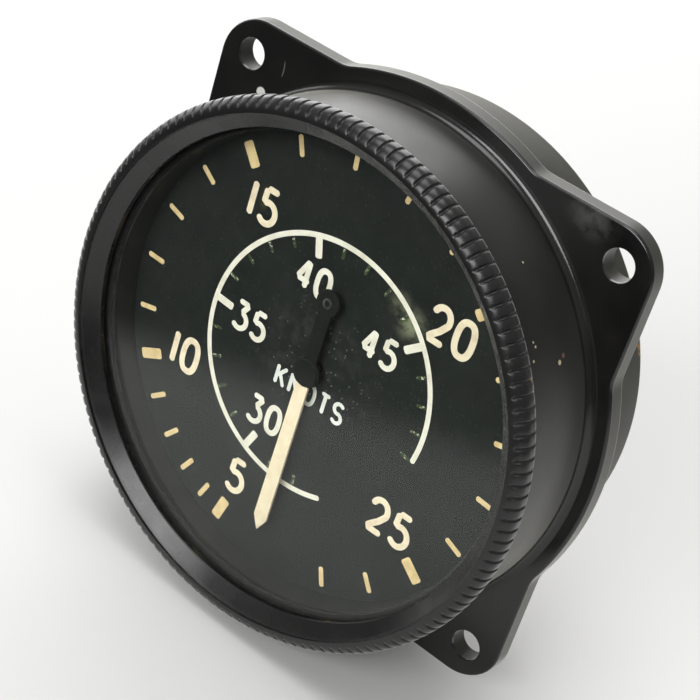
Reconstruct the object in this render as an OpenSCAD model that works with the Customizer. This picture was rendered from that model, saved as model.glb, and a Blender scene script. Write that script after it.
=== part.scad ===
// Panel-mounting airspeed indicator: moulded flanged case, knurled bezel,
// dial, and the capsule movement that turns the pointer through its geared train.
// Pieces are drawn on the bench, x right, y up and z towards the viewer, with z = 0
// on the front face of the flange; upright() then stands them with the dial facing -Y.

/* [Flange] */
// Distance between neighbouring fixing holes
hole_spacing = 68.4; // [64:0.1:75]
// Radius of each fixing hole
hole_r = 2.5; // [1.8:0.1:3]
// Distance from a fixing hole to the straight sides of its lug
lug_margin = 5.7; // [4.5:0.1:7]
// Corner radius of each lug
lug_corner_r = 7.2; // [5:0.1:9]
// How far the round part of the flange stands out from the case
flange_rim = 3.4; // [2:0.1:5]
// Thickness of the flange
flange_t = 3.5; // [2.5:0.1:5]

/* [Case] */
// Radius of the case in front of the flange
front_r = 40.2; // [37:0.1:44]
// Length of the case from the flange to the bezel
front_len = 15.5; // [15:0.1:18]
// Radius of the fillet between the front of the case and the flange
fillet_r = 1.4; // [0.6:0.1:2]
// Step from the front of the case down to its rear, on the radius
rear_step = 0.8; // [0.2:0.1:1.2]
// Depth of the case behind the front face of the flange
rear_depth = 17.5; // [16:0.1:24]
// Rounding of the rear edge
rear_round = 0.9; // [0.4:0.1:2]
// Thickness of the rear wall
rear_wall = 3; // [2.4:0.1:4]
// Thickness of the side wall behind the dial
case_wall = 4; // [3.6:0.1:4.6]
// Step from the front of the case down to the threaded nose, on the radius
nose_step = 1; // [0.8:0.05:1.2]
// Length of the threaded nose
nose_len = 1.7; // [1.2:0.1:1.9]
// Thickness of the nose around the glass
nose_wall = 1.1; // [0.9:0.05:1.3]

/* [Bezel] */
// Thickness of the bezel from the nose to the knurl
bezel_wall = 2.7; // [2.4:0.1:3]
// Number of ribs in the knurl
knurl_ribs = 144; // [120:4:168]
// Depth of the flutes between the ribs
knurl_depth = 0.42; // [0.2:0.02:0.6]
// Length of the bezel along the axis
bezel_len = 5.1; // [4.9:0.1:6]
// Rounding of the knurl at the front
shoulder_r = 2.2; // [1.6:0.1:2.3]
// Rounding of the knurl at the back
back_round = 1.6; // [1.2:0.1:1.7]
// Length of the plain collar behind the knurl
collar_len = 0.7; // [0.5:0.1:0.9]
// Width of the rim between the knurl and the sloping face
rim_w = 2.4; // [2.3:0.1:2.8]
// How far the lip of the bezel covers the edge of the glass
glass_cover = 0.9; // [0.6:0.05:1.2]
// Depth of the dished face below the front rim
dish_depth = 2.4; // [1.5:0.1:2.7]
// Depth of the step between the rim and the dished face
step_depth = 0.5; // [0.2:0.1:0.8]

/* [Glass and dial] */
// Thickness of the glass
glass_t = 1.7; // [1.2:0.1:2]
// Thickness of the gasket under the glass
gasket_t = 0.4; // [0.2:0.1:0.6]
// Height of the wall ring between dial and gasket
spacer_h = 4.7; // [4:0.1:5.2]
// Thickness of that wall ring
spacer_wall = 1; // [0.8:0.1:1.2]
// Thickness of the case around the dial plate
dial_wall = 2.8; // [2.4:0.1:3.2]
// Thickness of the dial plate
dial_t = 0.8; // [0.5:0.1:1]
// Radius of the hole in the middle of the dial
dial_hole_r = 1.6; // [1.2:0.1:2]

/* [Pointer] */
// Length from the axis to the tip
pointer_len = 29.3; // [24:0.1:33]
// Width of the blade at its root
blade_root_w = 2.3; // [1.6:0.05:2.6]
// Width of the blade at its shoulders
pointer_w = 2.55; // [1.8:0.05:3]
// Length of the tapered point
pointer_point = 2.3; // [1.5:0.1:4]
// Radius of the hub on the staff
hub_r = 2.4; // [2:0.1:3]
// Distance from the axis to the middle of the balance disc
tail_len = 12.1; // [9:0.1:15]
// Width of the tail
tail_w = 2.4; // [1.6:0.1:2.6]
// Radius of the balance disc
balance_r = 2.1; // [1.6:0.05:2.6]
// Radius of the hollow rivet in the balance disc
rivet_r = 0.8; // [0.6:0.05:1]
// Thickness of the blade
pointer_t = 0.5; // [0.3:0.1:0.6]
// Height of the blade above the dial
pointer_gap = 1.8; // [1.2:0.1:2.2]
// Turn of the pointer from zero to full scale, in degrees
pointer_travel = 642; // [560:1:660]

/* [Gear train] */
// Tooth module
gear_module = 0.4; // [0.38:0.01:0.42]
// Teeth of a full wheel of the sector's size
sector_teeth = 90; // [86:2:92]
// Teeth of the intermediate pinion
pinion_teeth = 10; // [10:1:12]
// Teeth of the intermediate wheel
wheel_teeth = 52; // [48:2:54]
// Teeth of the pinion on the pointer's staff
hand_teeth = 20; // [18:1:22]
// Thickness of the wheels
wheel_t = 1; // [0.8:0.1:1.2]
// Length of the pinions
pinion_len = 1.6; // [1.4:0.1:1.8]
// Radius of the arbors
arbor_r = 0.8; // [0.7:0.05:0.9]
// Radius of the pivots at their ends
pivot_r = 0.42; // [0.35:0.01:0.5]
// Radius of the bushes that the pivots run in
bush_r = 1.4; // [1.2:0.05:1.6]

/* [Movement frame] */
// Thickness of both plates
plate_t = 1.2; // [1:0.1:1.4]
// Space between the plates
plate_gap = 5.6; // [5.4:0.1:5.8]
// Space between the front plate and the back of the dial
dial_clear = 1.4; // [1.3:0.1:1.8]
// Gap between the back plate and the side wall
plate_rim_gap = 2.2; // [1.6:0.1:3]
// Distance of the long pillars inside the edge of the back plate
pillar_inset = 5; // [4.5:0.1:6]
// Radius of a long pillar
long_pillar_r = 2.2; // [1.9:0.1:2.6]
// Radius of a short pillar
short_pillar_r = 1.7; // [1.5:0.1:2]
// Radius of the screws' shanks
screw_r = 0.9; // [0.7:0.05:1]
// Radius of the screws' heads
screw_head_r = 1.8; // [1.5:0.1:2]
// Height of the screws' heads
screw_head_h = 0.8; // [0.6:0.1:1]

/* [Capsule and lever] */
// Radius of the pressure capsule
capsule_r = 20; // [18:0.1:21]
// Thickness of its diaphragms
diaphragm_t = 0.3; // [0.2:0.05:0.4]
// Number of ripples in a diaphragm
ripples = 3; // [2:1:4]
// Height of the ripples
ripple_h = 0.5; // [0.3:0.1:0.7]
// Length of the capsule's stud
stud_len = 1.8; // [1.4:0.1:2]
// Radius of the rocking shaft
rocker_r = 1; // [0.8:0.1:1.2]
// Depth of the rocking shaft behind the back plate
rocker_drop = 3; // [2.8:0.1:3.4]
// Distance of the striker's contact behind the sector
pin_drop = 1.3; // [1.1:0.1:1.5]
// Distance of the sector's pin from its pivot
pin_arm = 3; // [2.8:0.1:3.2]
// Radius of the sector's pin
pin_r = 0.5; // [0.4:0.05:0.6]
// Radius of the rounded contacts on the levers
knob_r = 0.6; // [0.5:0.05:0.7]

/* [Unions] */
// Radius of the threaded spigots at the back
union_r = 4.8; // [4:0.1:6]
// Length of the threaded spigots
union_len = 10; // [8:0.5:14]
// Radius of the passage through each union
union_bore_r = 2; // [1.5:0.1:2.2]
// Radius of the stems through the rear wall
stem_r = 3; // [2.6:0.1:3.4]
// Width of the hexagons across their corners
hex_w = 13; // [12:0.5:15]
// Thickness of the outer hexagon
hex_t = 3; // [2:0.1:4]
// Thickness of the nuts inside the case
nut_t = 1.8; // [1.4:0.1:2]
// Thickness of the sealing washers
washer_t = 0.8; // [0.5:0.1:1]
// Distance of the static union below the pitot union
static_drop = 24; // [22:0.1:25]

/* [Hidden] */
$fn = 64;

// Clearances: a pressed seat, a running pivot, a loose seat and a sliding contact
seat_clear = 0.02;
run_clear = 0.04;
loose_clear = 0.15;
contact_clear = 0.08;
// Overlap that keeps a cut from ending flush with a face
over = 0.5;
// Overlap that bonds the lugs to the case
bond = 1;

// Radii, inwards and outwards from the front of the case
flange_r = front_r + flange_rim;
flange_side = hole_spacing + 2 * lug_margin;
rear_r = front_r - rear_step;
cavity_r = front_r - case_wall;
nose_r = front_r - nose_step;
glass_r = nose_r - nose_wall;
window_r = glass_r - glass_cover;
bezel_r = nose_r + bezel_wall;
dish_r = bezel_r - rim_w;
dial_r = front_r - dial_wall;
spacer_r = dial_r - spacer_wall;
back_plate_r = cavity_r - plate_rim_gap;
pillar_circle_r = back_plate_r - pillar_inset;

// Small steps and bevels of the bezel, glass and unions
knurl_over = 0.1;
lip_bevel = 0.3;
glass_proud = 0.1;
gasket_inset = 0.4;
washer_inset = 0.4;
stem_proud = 0.6;

// Hub and rivet of the pointer stand a little above its blade
hub_rise = 0.25;
rivet_rise = 0.2;
rivet_wall = 0.3;
boss_r = 1.5;
boss_h = 1;

// Levels along the axis, from the dial backwards
rear_z = -rear_depth;
floor_z = rear_z + rear_wall;
bezel_z0 = front_len;
bezel_z1 = bezel_z0 + bezel_len;
glass_top = bezel_z0 + nose_len + glass_proud;
glass_z = glass_top - glass_t;
gasket_z = glass_z - gasket_t;
dial_face = gasket_z - spacer_h;
dial_back = dial_face - dial_t;
front_plate_z1 = dial_back - dial_clear;
front_plate_z0 = front_plate_z1 - plate_t;
back_plate_z1 = front_plate_z0 - plate_gap;
back_plate_z0 = back_plate_z1 - plate_t;
pointer_z = dial_face + pointer_gap;
wheel_clear = 0.6;
sector_clear = 0.7;
wheel_z = back_plate_z1 + wheel_clear;
sector_z = front_plate_z0 - sector_clear - wheel_t;
rocker_z = back_plate_z0 - rocker_drop;

// Gear train: ratios, centre distances and places
pressure_angle = 25;
mesh_slack = 0.03;
tooth_thinning = 0.07;
addendum_ratio = 0.75;
dedendum_ratio = 1.1;
addendum = addendum_ratio * gear_module;
dedendum = dedendum_ratio * gear_module;
end_shake = 0.1;
train_ratio = sector_teeth / pinion_teeth * wheel_teeth / hand_teeth;
sector_swing = pointer_travel / train_ratio;
hand_centres = gear_module * (wheel_teeth + hand_teeth) / 2 + mesh_slack;
sector_centres = gear_module * (sector_teeth + pinion_teeth) / 2 + mesh_slack;
pivot_distance = sqrt(pow(sector_centres, 2) - pow(hand_centres, 2));
train_angle = -60;
sector_x = pivot_distance * cos(train_angle);
sector_y = pivot_distance * sin(train_angle);
idler_x = hand_centres * cos(train_angle + 90);
idler_y = hand_centres * sin(train_angle + 90);
sector_line = atan2(idler_y - sector_y, idler_x - sector_x);
sector_pitch = 360 / sector_teeth;
spare_teeth = 2;
sector_last = ceil(sector_swing / sector_pitch) + spare_teeth;
sector_hub_r = 2.2;
sector_rib = 1.4;
sector_inner_r = 6.5;
pin_boss_wall = 0.5;
pin_web_wall = 0.3;
pin_end = 0.5;
wheel_root_r = gear_module * wheel_teeth / 2 - dedendum;
wheel_tip_r = gear_module * wheel_teeth / 2 + addendum;
wheel_hub_r = 2.6;
wheel_rim_w = 1.6;
hand_at = [0, 0];
idler_at = [idler_x, idler_y];
sector_at = [sector_x, sector_y];
pins = [hand_at, idler_at, sector_at];

// Lever: the rocking shaft turns pin_arm / striker_len as far as the sector
striker_len = sector_z - pin_drop - rocker_z;
rocker_swing = sector_swing * pin_arm / striker_len;
rocker_y = sector_y + pin_r + knob_r + contact_clear;
striker_x = sector_x + pin_arm;
arm_len = -rocker_y;
capsule_travel = arm_len * rocker_swing * PI / 180;
stud_top = rocker_z - capsule_travel / 2 - knob_r - contact_clear;
capsule_top = stud_top - stud_len;
nut_top = floor_z + nut_t;
rim_z = (capsule_top + nut_top) / 2;
blade_w = 1.6;
blade_t = 0.5;
lever_boss_w = 2;
lever_boss_wall = 0.8;
striker_window_w = 2.4;
striker_window_clear = 1.5;
bracket_t = 2;
bracket_w = 5;
bracket_gap = 0.2;
bracket_crown = 1;
bracket_offset = 4;
bracket_x0 = -lever_boss_w - bracket_offset;
bracket_x1 = striker_x + bracket_offset;
foot_len = 6;
foot_t = 1.2;
foot_hole = 3.5;

// Capsule: radii of its rim, its flat middles and its stud
capsule_rim_w = 1.2;
front_mid_r = 4;
back_mid_r = 6;
stud_foot_r = 2.6;
stud_foot_h = 0.6;
stud_pin_r = 1.4;

// Pillars: long ones hold the back plate off the rear wall, short ones part the plates
// and stand round the pivots, clear of the wheel and of the sector's swing
long_angles = [60, 180, 300];
wheel_pillar_gap = 1;
lower_left_reach = 19.4;
lower_right_reach = 14.8;
upper_left_reach = 20;
upper_right_reach = wheel_tip_r + short_pillar_r + wheel_pillar_gap;
short_places = [
    sector_at + polar(lower_left_reach, 192),
    sector_at + polar(lower_right_reach, -28),
    idler_at + polar(upper_right_reach, 45),
    idler_at + polar(upper_left_reach, 152)];
plate_lug_wall = 1.6;
plate_lug_r = short_pillar_r + plate_lug_wall;
pillar_grip = 3;
short_grip = 2;
slot_w = 0.5;

// Hairspring in front of the front plate
spring_turns = 5;
spring_w = 0.14;
spring_h = 0.6;
collet_r = 1.6;
coil_spacing = 0.72;
spring_steps = 28;
spring_z = front_plate_z1 + (dial_clear - spring_h) / 2;
collet_proud = 0.1;
stud_r = 0.5;
stud_gap = 0.3;

// Point at distance r in the direction a
function polar(r, a) = r * [cos(a), sin(a)];

module upright() {
    rotate([90, 0, 0]) children();
}

module tube(outer, inner, height) {
    difference() {
        cylinder(r = outer, h = height);
        translate([0, 0, -over]) cylinder(r = inner, h = height + 2 * over);
    }
}

module at_long_pillars() {
    for (a = long_angles) rotate([0, 0, a]) translate([pillar_circle_r, 0, 0]) children();
}

module at_short_pillars() {
    for (p = short_places) translate([p[0], p[1], 0]) children();
}

module at_pivots() {
    for (p = pins) translate([p[0], p[1], 0]) children();
}

module at_unions() {
    children();
    translate([0, -static_drop, 0]) children();
}

module at_flange_holes() {
    for (x = [-1, 1], y = [-1, 1]) translate([x, y, 0] * hole_spacing / 2) children();
}

// Screw seen from its head: head upwards from z = 0, shank downwards
module screw(shank) {
    difference() {
        union() {
            cylinder(r = screw_head_r, h = screw_head_h);
            translate([0, 0, -shank]) cylinder(r = screw_r, h = shank + over / 2);
        }
        translate([-screw_head_r - over, -slot_w / 2, screw_head_h / 2])
            cube([2 * screw_head_r + 2 * over, slot_w, screw_head_h]);
    }
}

// Angle by which an involute leaves its radius, at radius r from base radius rb
function involute(rb, r) = let (t = acos(min(1, rb / r))) tan(t) * 180 / PI - t;

// Half of a tooth's angle at radius r
function tooth_half(teeth, r) =
    let (rp = gear_module * teeth / 2, rb = rp * cos(pressure_angle))
    90 / teeth - tooth_thinning / rp * 90 / PI + involute(rb, rp) - involute(rb, max(r, rb));

// Outline of one tooth about the direction a, from root to root
function tooth(teeth, a) =
    let (rp = gear_module * teeth / 2, rb = rp * cos(pressure_angle),
        root = rp - dedendum, low = max(root, rb), tip = rp + addendum,
        flank = [root, low, (2 * low + tip) / 3, (low + 2 * tip) / 3, tip])
    concat(
        [for (r = flank) polar(r, a - tooth_half(teeth, r))],
        [for (i = [4:-1:0]) polar(flank[i], a + tooth_half(teeth, flank[i]))]);

// Whole gear with a tooth in the direction a
module gear(teeth, a, height) {
    linear_extrude(height)
        polygon([for (k = [0:teeth - 1]) each tooth(teeth, a + k * 360 / teeth)]);
}

module case_outline() {
    half = flange_side / 2;
    inset = half - lug_corner_r;
    translate([0, 0, -flange_t]) {
        cylinder(r = flange_r, h = flange_t);
        translate([-half, -inset, 0]) cube([2 * half, 2 * inset, flange_t]);
        translate([-inset, -half, 0]) cube([2 * inset, 2 * half, flange_t]);
        for (x = [-1, 1], y = [-1, 1])
            translate([x * inset, y * inset, 0]) cylinder(r = lug_corner_r, h = flange_t);
    }
}

// Half section of the case without its lugs, with the fillet on the flange
module case_section() {
    fillet = [for (a = [0:15:90]) [front_r + fillet_r * (1 - sin(a)), fillet_r * (1 - cos(a))]];
    edge = [for (a = [0:15:90]) [rear_r - rear_round * (1 - cos(a)), rear_z + rear_round * (1 - sin(a))]];
    seat_r = dial_r + loose_clear;
    recess_r = glass_r + seat_clear;
    polygon(concat(
        [[0, rear_z]],
        [for (i = [6:-1:0]) edge[i]],
        [[rear_r, -flange_t / 2], [front_r + fillet_r, -flange_t / 2]],
        fillet,
        [[front_r, bezel_z0], [nose_r, bezel_z0], [nose_r, bezel_z0 + nose_len],
        [recess_r, bezel_z0 + nose_len], [recess_r, gasket_z], [seat_r, gasket_z],
        [seat_r, dial_back], [cavity_r, dial_back], [cavity_r, floor_z], [0, floor_z]]));
}

module case() {
    color([0.05, 0.05, 0.05]) upright() difference() {
        union() {
            rotate_extrude() case_section();
            difference() {
                case_outline();
                translate([0, 0, -flange_t - over]) cylinder(r = rear_r - bond, h = flange_t + 2 * over);
            }
        }
        at_flange_holes() translate([0, 0, -flange_t - over]) cylinder(r = hole_r, h = flange_t + 2 * over);
        at_unions() translate([0, 0, rear_z - over]) cylinder(r = stem_r + seat_clear, h = rear_wall + 2 * over);
        at_long_pillars() {
            translate([0, 0, rear_z - over]) cylinder(r = screw_r + seat_clear, h = rear_wall + 2 * over);
            translate([0, 0, rear_z - over]) cylinder(r = screw_head_r + loose_clear, h = screw_head_h + over);
        }
    }
}

// Rib outline: four points from one flute to the next
function knurl_points() =
    let (pitch = 360 / knurl_ribs, low = bezel_r - knurl_depth, side = bezel_r - 0.2 * knurl_depth)
    [for (i = [0:knurl_ribs - 1], s = [[0, low], [0.22, side], [0.5, bezel_r], [0.78, side]])
        polar(s[1], (i + s[0]) * pitch)];

module bezel_section() {
    outside = bezel_r + knurl_over;
    lip_z = bezel_z1 - dish_depth;
    rim_r = outside - shoulder_r;
    collar_r = outside - back_round;
    collar_z = bezel_z0 + collar_len;
    heel = [for (a = [0:15:90])
        [collar_r + back_round * sin(a), collar_z + back_round * (1 - cos(a))]];
    shoulder = [for (a = [0:15:90])
        [rim_r + shoulder_r * cos(a), bezel_z1 - shoulder_r * (1 - sin(a))]];
    polygon(concat(
        [[nose_r + run_clear, bezel_z0], [collar_r, bezel_z0]],
        heel, shoulder,
        [[dish_r, bezel_z1], [dish_r, bezel_z1 - step_depth], [window_r + lip_bevel, lip_z],
        [window_r, lip_z - lip_bevel], [window_r, glass_top], [nose_r + run_clear, glass_top]]));
}

module bezel() {
    color([0.06, 0.06, 0.06]) upright() intersection() {
        rotate_extrude() bezel_section();
        translate([0, 0, bezel_z0 - over]) linear_extrude(bezel_len + 2 * over) polygon(knurl_points());
    }
}

module glass() {
    color([0.8, 0.9, 0.9, 0.3]) upright() translate([0, 0, glass_z]) cylinder(r = glass_r, h = glass_t);
}

module glass_gasket() {
    color([0.12, 0.12, 0.11]) upright() translate([0, 0, gasket_z])
        tube(glass_r, spacer_r + gasket_inset, gasket_t);
}

module spacer_ring() {
    color([0.08, 0.08, 0.08]) upright() translate([0, 0, dial_face]) tube(dial_r, spacer_r, spacer_h);
}

module dial() {
    color([0.07, 0.09, 0.08]) upright() translate([0, 0, dial_back]) tube(dial_r, dial_hole_r, dial_t);
}

// Pointer at zero: blade downwards, balance disc upwards
module pointer() {
    half = pointer_w / 2;
    root_half = blade_root_w / 2;
    shoulder_y = pointer_point - pointer_len;
    hub_h = pointer_t + hub_rise;
    rivet_h = pointer_t + rivet_rise;
    color([0.9, 0.85, 0.7]) upright() translate([0, 0, pointer_z]) difference() {
        union() {
            linear_extrude(pointer_t)
                polygon([[-root_half, 0], [-half, shoulder_y], [0, -pointer_len], [half, shoulder_y], [root_half, 0]]);
            translate([-tail_w / 2, 0, 0]) cube([tail_w, tail_len, pointer_t]);
            translate([0, tail_len, 0]) cylinder(r = balance_r, h = pointer_t);
            translate([0, tail_len, 0]) cylinder(r = rivet_r, h = rivet_h);
            cylinder(r = hub_r, h = hub_h);
            translate([0, 0, -boss_h]) cylinder(r = boss_r, h = boss_h + pointer_t);
        }
        translate([0, 0, -boss_h - over]) cylinder(r = arbor_r + seat_clear, h = boss_h + hub_h + 2 * over);
        translate([0, tail_len, pointer_t]) cylinder(r = rivet_r - rivet_wall, h = rivet_rise + over);
    }
}

module union_fitting() {
    face = rear_z - washer_t;
    end = face - hex_t - union_len;
    color([0.78, 0.62, 0.3]) upright() difference() {
        union() {
            translate([0, 0, end]) cylinder(r = union_r, h = union_len + over);
            translate([0, 0, face - hex_t]) cylinder(r = hex_w / 2, h = hex_t, $fn = 6);
            translate([0, 0, face - over]) cylinder(r = stem_r, h = nut_top + stem_proud - face + over);
        }
        translate([0, 0, end - over]) cylinder(r = union_bore_r, h = nut_top - end + 4 * over);
    }
}

module pitot_union() {
    union_fitting();
}

module static_union() {
    translate([0, 0, -static_drop]) union_fitting();
}

module union_washers() {
    color([0.45, 0.2, 0.15]) upright() at_unions() translate([0, 0, rear_z - washer_t])
        tube(hex_w / 2 - washer_inset, stem_r + seat_clear, washer_t);
}

module union_nuts() {
    color([0.78, 0.62, 0.3]) upright() at_unions() translate([0, 0, floor_z]) difference() {
        cylinder(r = hex_w / 2, h = nut_t, $fn = 6);
        translate([0, 0, -over]) cylinder(r = stem_r + seat_clear, h = nut_t + 2 * over);
    }
}

module case_screws() {
    color([0.6, 0.6, 0.58]) upright() at_long_pillars() translate([0, 0, rear_z + screw_head_h])
        mirror([0, 0, 1]) screw(rear_wall + pillar_grip);
}

module long_pillars() {
    hole = screw_r + seat_clear;
    color([0.75, 0.6, 0.3]) upright() at_long_pillars() translate([0, 0, floor_z])
        tube(long_pillar_r, hole, back_plate_z0 - floor_z);
}

module back_plate() {
    window_h = 2 * (striker_len * sin(rocker_swing / 2) + striker_window_clear);
    color([0.8, 0.66, 0.34]) upright() translate([0, 0, back_plate_z0]) difference() {
        cylinder(r = back_plate_r, h = plate_t);
        translate([0, 0, -over]) {
            at_pivots() cylinder(r = bush_r, h = plate_t + 2 * over);
            at_long_pillars() cylinder(r = screw_r + seat_clear, h = plate_t + 2 * over);
            at_short_pillars() cylinder(r = screw_r + seat_clear, h = plate_t + 2 * over);
            at_brackets() cylinder(r = screw_r + seat_clear, h = plate_t + 2 * over);
            translate([striker_x - striker_window_w / 2, rocker_y - window_h / 2, 0])
                cube([striker_window_w, window_h, plate_t + 2 * over]);
        }
    }
}

module back_plate_screws() {
    color([0.6, 0.6, 0.58]) upright() at_long_pillars() translate([0, 0, back_plate_z1])
        screw(plate_t + pillar_grip);
}

module bushes(bore) {
    color([0.7, 0.5, 0.3]) upright() at_pivots() tube(bush_r, bore, plate_t);
}

module back_bushes() {
    translate([0, -back_plate_z0, 0]) bushes(pivot_r + run_clear);
}

module short_pillars() {
    color([0.75, 0.6, 0.3]) upright() at_short_pillars() translate([0, 0, back_plate_z1])
        tube(short_pillar_r, screw_r + seat_clear, plate_gap);
}

module front_plate() {
    color([0.8, 0.66, 0.34]) upright() translate([0, 0, front_plate_z0]) difference() {
        union() {
            linear_extrude(plate_t) polygon(short_places);
            at_short_pillars() cylinder(r = plate_lug_r, h = plate_t);
        }
        translate([0, 0, -over]) {
            at_pivots() cylinder(r = bush_r, h = plate_t + 2 * over);
            at_short_pillars() cylinder(r = screw_r + seat_clear, h = plate_t + 2 * over);
        }
    }
}

module front_plate_screws() {
    color([0.6, 0.6, 0.58]) upright() at_short_pillars() translate([0, 0, front_plate_z1])
        screw(plate_t + short_grip);
}

// The staff's bush is bored for the arbor, the other two for pivots
module front_bushes() {
    color([0.7, 0.5, 0.3]) upright() translate([0, 0, front_plate_z0]) {
        tube(bush_r, arbor_r + run_clear, plate_t);
        translate([idler_x, idler_y, 0]) tube(bush_r, pivot_r + run_clear, plate_t);
        translate([sector_x, sector_y, 0]) tube(bush_r, pivot_r + run_clear, plate_t);
    }
}

// Arbor between the plates with a pivot at each end
module arbor() {
    translate([0, 0, back_plate_z1 + end_shake]) cylinder(r = arbor_r, h = plate_gap - 2 * end_shake);
    translate([0, 0, back_plate_z0 + end_shake]) cylinder(r = pivot_r, h = plate_gap + 2 * plate_t - 2 * end_shake);
}

// Toothed sector at rest: its first teeth meet the pinion and the rest wait for the swing
module sector_gear() {
    first = -spare_teeth;
    a0 = sector_line + (first - 0.5) * sector_pitch;
    a1 = sector_line + (sector_last + 0.5) * sector_pitch;
    root = gear_module * sector_teeth / 2 - dedendum;
    outer_r = root - sector_rib;
    inset0 = sector_rib / sector_inner_r * 180 / PI;
    inset1 = sector_rib / outer_r * 180 / PI;
    pin_angle = sector_swing / 2;
    color([0.82, 0.68, 0.36]) upright() translate([sector_x, sector_y, sector_z]) difference() {
        union() {
            linear_extrude(wheel_t) polygon(concat([[0, 0]],
                [for (k = [first:sector_last]) each tooth(sector_teeth, sector_line + k * sector_pitch)]));
            cylinder(r = sector_hub_r, h = wheel_t);
            rotate([0, 0, pin_angle]) {
                translate([0, -pin_r - pin_web_wall, 0]) cube([pin_arm, 2 * (pin_r + pin_web_wall), wheel_t]);
                translate([pin_arm, 0, 0]) cylinder(r = pin_r + pin_boss_wall, h = wheel_t);
            }
        }
        translate([0, 0, -over]) {
            linear_extrude(wheel_t + 2 * over) polygon(concat(
                [polar(sector_inner_r, a0 + inset0)],
                [for (i = [0:6]) polar(outer_r, a0 + inset1 + (a1 - a0 - 2 * inset1) * i / 6)],
                [polar(sector_inner_r, a1 - inset0)]));
            cylinder(r = arbor_r + seat_clear, h = wheel_t + 2 * over);
            rotate([0, 0, pin_angle]) translate([pin_arm, 0, 0])
                cylinder(r = pin_r + seat_clear, h = wheel_t + 2 * over);
        }
    }
}

module sector_arbor() {
    color([0.7, 0.7, 0.7]) upright() translate([sector_x, sector_y, 0]) arbor();
}

module sector_pin() {
    reach = pin_drop + knob_r + pin_end;
    color([0.7, 0.7, 0.7]) upright() translate([sector_x, sector_y, sector_z - reach])
        rotate([0, 0, sector_swing / 2]) translate([pin_arm, 0, 0]) cylinder(r = pin_r, h = reach + wheel_t);
}

// Pinion cut in one with its arbor, a gap facing the sector
module idler_pinion() {
    color([0.7, 0.7, 0.7]) upright() translate([idler_x, idler_y, 0]) {
        arbor();
        translate([0, 0, sector_z + wheel_t / 2 - pinion_len / 2])
            gear(pinion_teeth, sector_line + 180 + 180 / pinion_teeth, pinion_len);
    }
}

module idler_wheel() {
    hole = (wheel_root_r - wheel_rim_w - wheel_hub_r) / 2;
    color([0.82, 0.68, 0.36]) upright() translate([idler_x, idler_y, wheel_z]) difference() {
        gear(wheel_teeth, train_angle + 270, wheel_t);
        translate([0, 0, -over]) {
            cylinder(r = arbor_r + seat_clear, h = wheel_t + 2 * over);
            for (a = [45:90:315]) rotate([0, 0, a]) translate([wheel_hub_r + hole, 0, 0])
                cylinder(r = hole, h = wheel_t + 2 * over);
        }
    }
}

module hand_staff() {
    color([0.7, 0.7, 0.7]) upright() {
        translate([0, 0, back_plate_z0 + end_shake]) cylinder(r = pivot_r, h = plate_t + end_shake);
        translate([0, 0, back_plate_z1 + end_shake])
            cylinder(r = arbor_r, h = pointer_z + pointer_t - back_plate_z1 - end_shake);
    }
}

// Pinion on the staff, a gap facing the intermediate wheel
module hand_pinion() {
    z = wheel_z + wheel_t / 2 - pinion_len / 2;
    color([0.82, 0.68, 0.36]) upright() translate([0, 0, z]) difference() {
        gear(hand_teeth, train_angle + 90 + 180 / hand_teeth, pinion_len);
        translate([0, 0, -over]) cylinder(r = arbor_r + seat_clear, h = pinion_len + 2 * over);
    }
}

// Flat spiral from the collet to the stud
module hairspring() {
    start_r = collet_r + seat_clear + spring_w / 2;
    last = spring_turns * spring_steps;
    edge = function (i, side)
        polar(start_r + coil_spacing * i / spring_steps + side, i * 360 / spring_steps);
    color([0.35, 0.4, 0.6]) upright() translate([0, 0, spring_z]) linear_extrude(spring_h) polygon(concat(
        [for (i = [0:last]) edge(i, -spring_w / 2)],
        [for (i = [last:-1:0]) edge(i, spring_w / 2)]));
}

module hairspring_collet() {
    color([0.82, 0.68, 0.36]) upright() translate([0, 0, spring_z - collet_proud])
        tube(collet_r, arbor_r + seat_clear, spring_h + 2 * collet_proud);
}

module hairspring_stud() {
    x = collet_r + seat_clear + spring_w + coil_spacing * spring_turns + stud_r + seat_clear;
    color([0.7, 0.7, 0.7]) upright() translate([x, 0, front_plate_z1])
        cylinder(r = stud_r, h = dial_clear - stud_gap);
}

// Rocking shaft and its levers at rest, turned back from their middle place
module at_rocker() {
    upright() translate([0, rocker_y, rocker_z]) rotate([-rocker_swing / 2, 0, 0]) children();
}

module along_x(r, x0, x1) {
    translate([x0, 0, 0]) rotate([0, 90, 0]) cylinder(r = r, h = x1 - x0);
}

module rocking_shaft() {
    inner0 = bracket_x0 + bracket_t / 2 + bracket_gap;
    inner1 = bracket_x1 - bracket_t / 2 - bracket_gap;
    color([0.7, 0.7, 0.7]) at_rocker() {
        along_x(rocker_r, inner0, inner1);
        along_x(pivot_r, bracket_x0 - bracket_t / 2, bracket_x1 + bracket_t / 2);
    }
}

// Lever on the shaft: boss, flat blade along +z and a rounded contact at its end
module lever(x, length) {
    difference() {
        union() {
            along_x(rocker_r + lever_boss_wall, x - lever_boss_w / 2, x + lever_boss_w / 2);
            translate([x - blade_w / 2, -blade_t / 2, 0]) cube([blade_w, blade_t, length]);
            translate([0, 0, length]) along_x(knob_r, x - blade_w / 2, x + blade_w / 2);
        }
        along_x(rocker_r + seat_clear, x - lever_boss_w, x + lever_boss_w);
    }
}

module capsule_arm() {
    color([0.65, 0.65, 0.65]) at_rocker() rotate([-90, 0, 0]) lever(0, arm_len);
}

module striker_arm() {
    color([0.65, 0.65, 0.65]) at_rocker() lever(striker_x, striker_len);
}

// Screw places in the brackets' feet, which point away from each other
module at_brackets() {
    for (p = [[bracket_x0, -1], [bracket_x1, 1]])
        translate([p[0] + p[1] * foot_hole, rocker_y, 0]) children();
}

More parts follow.
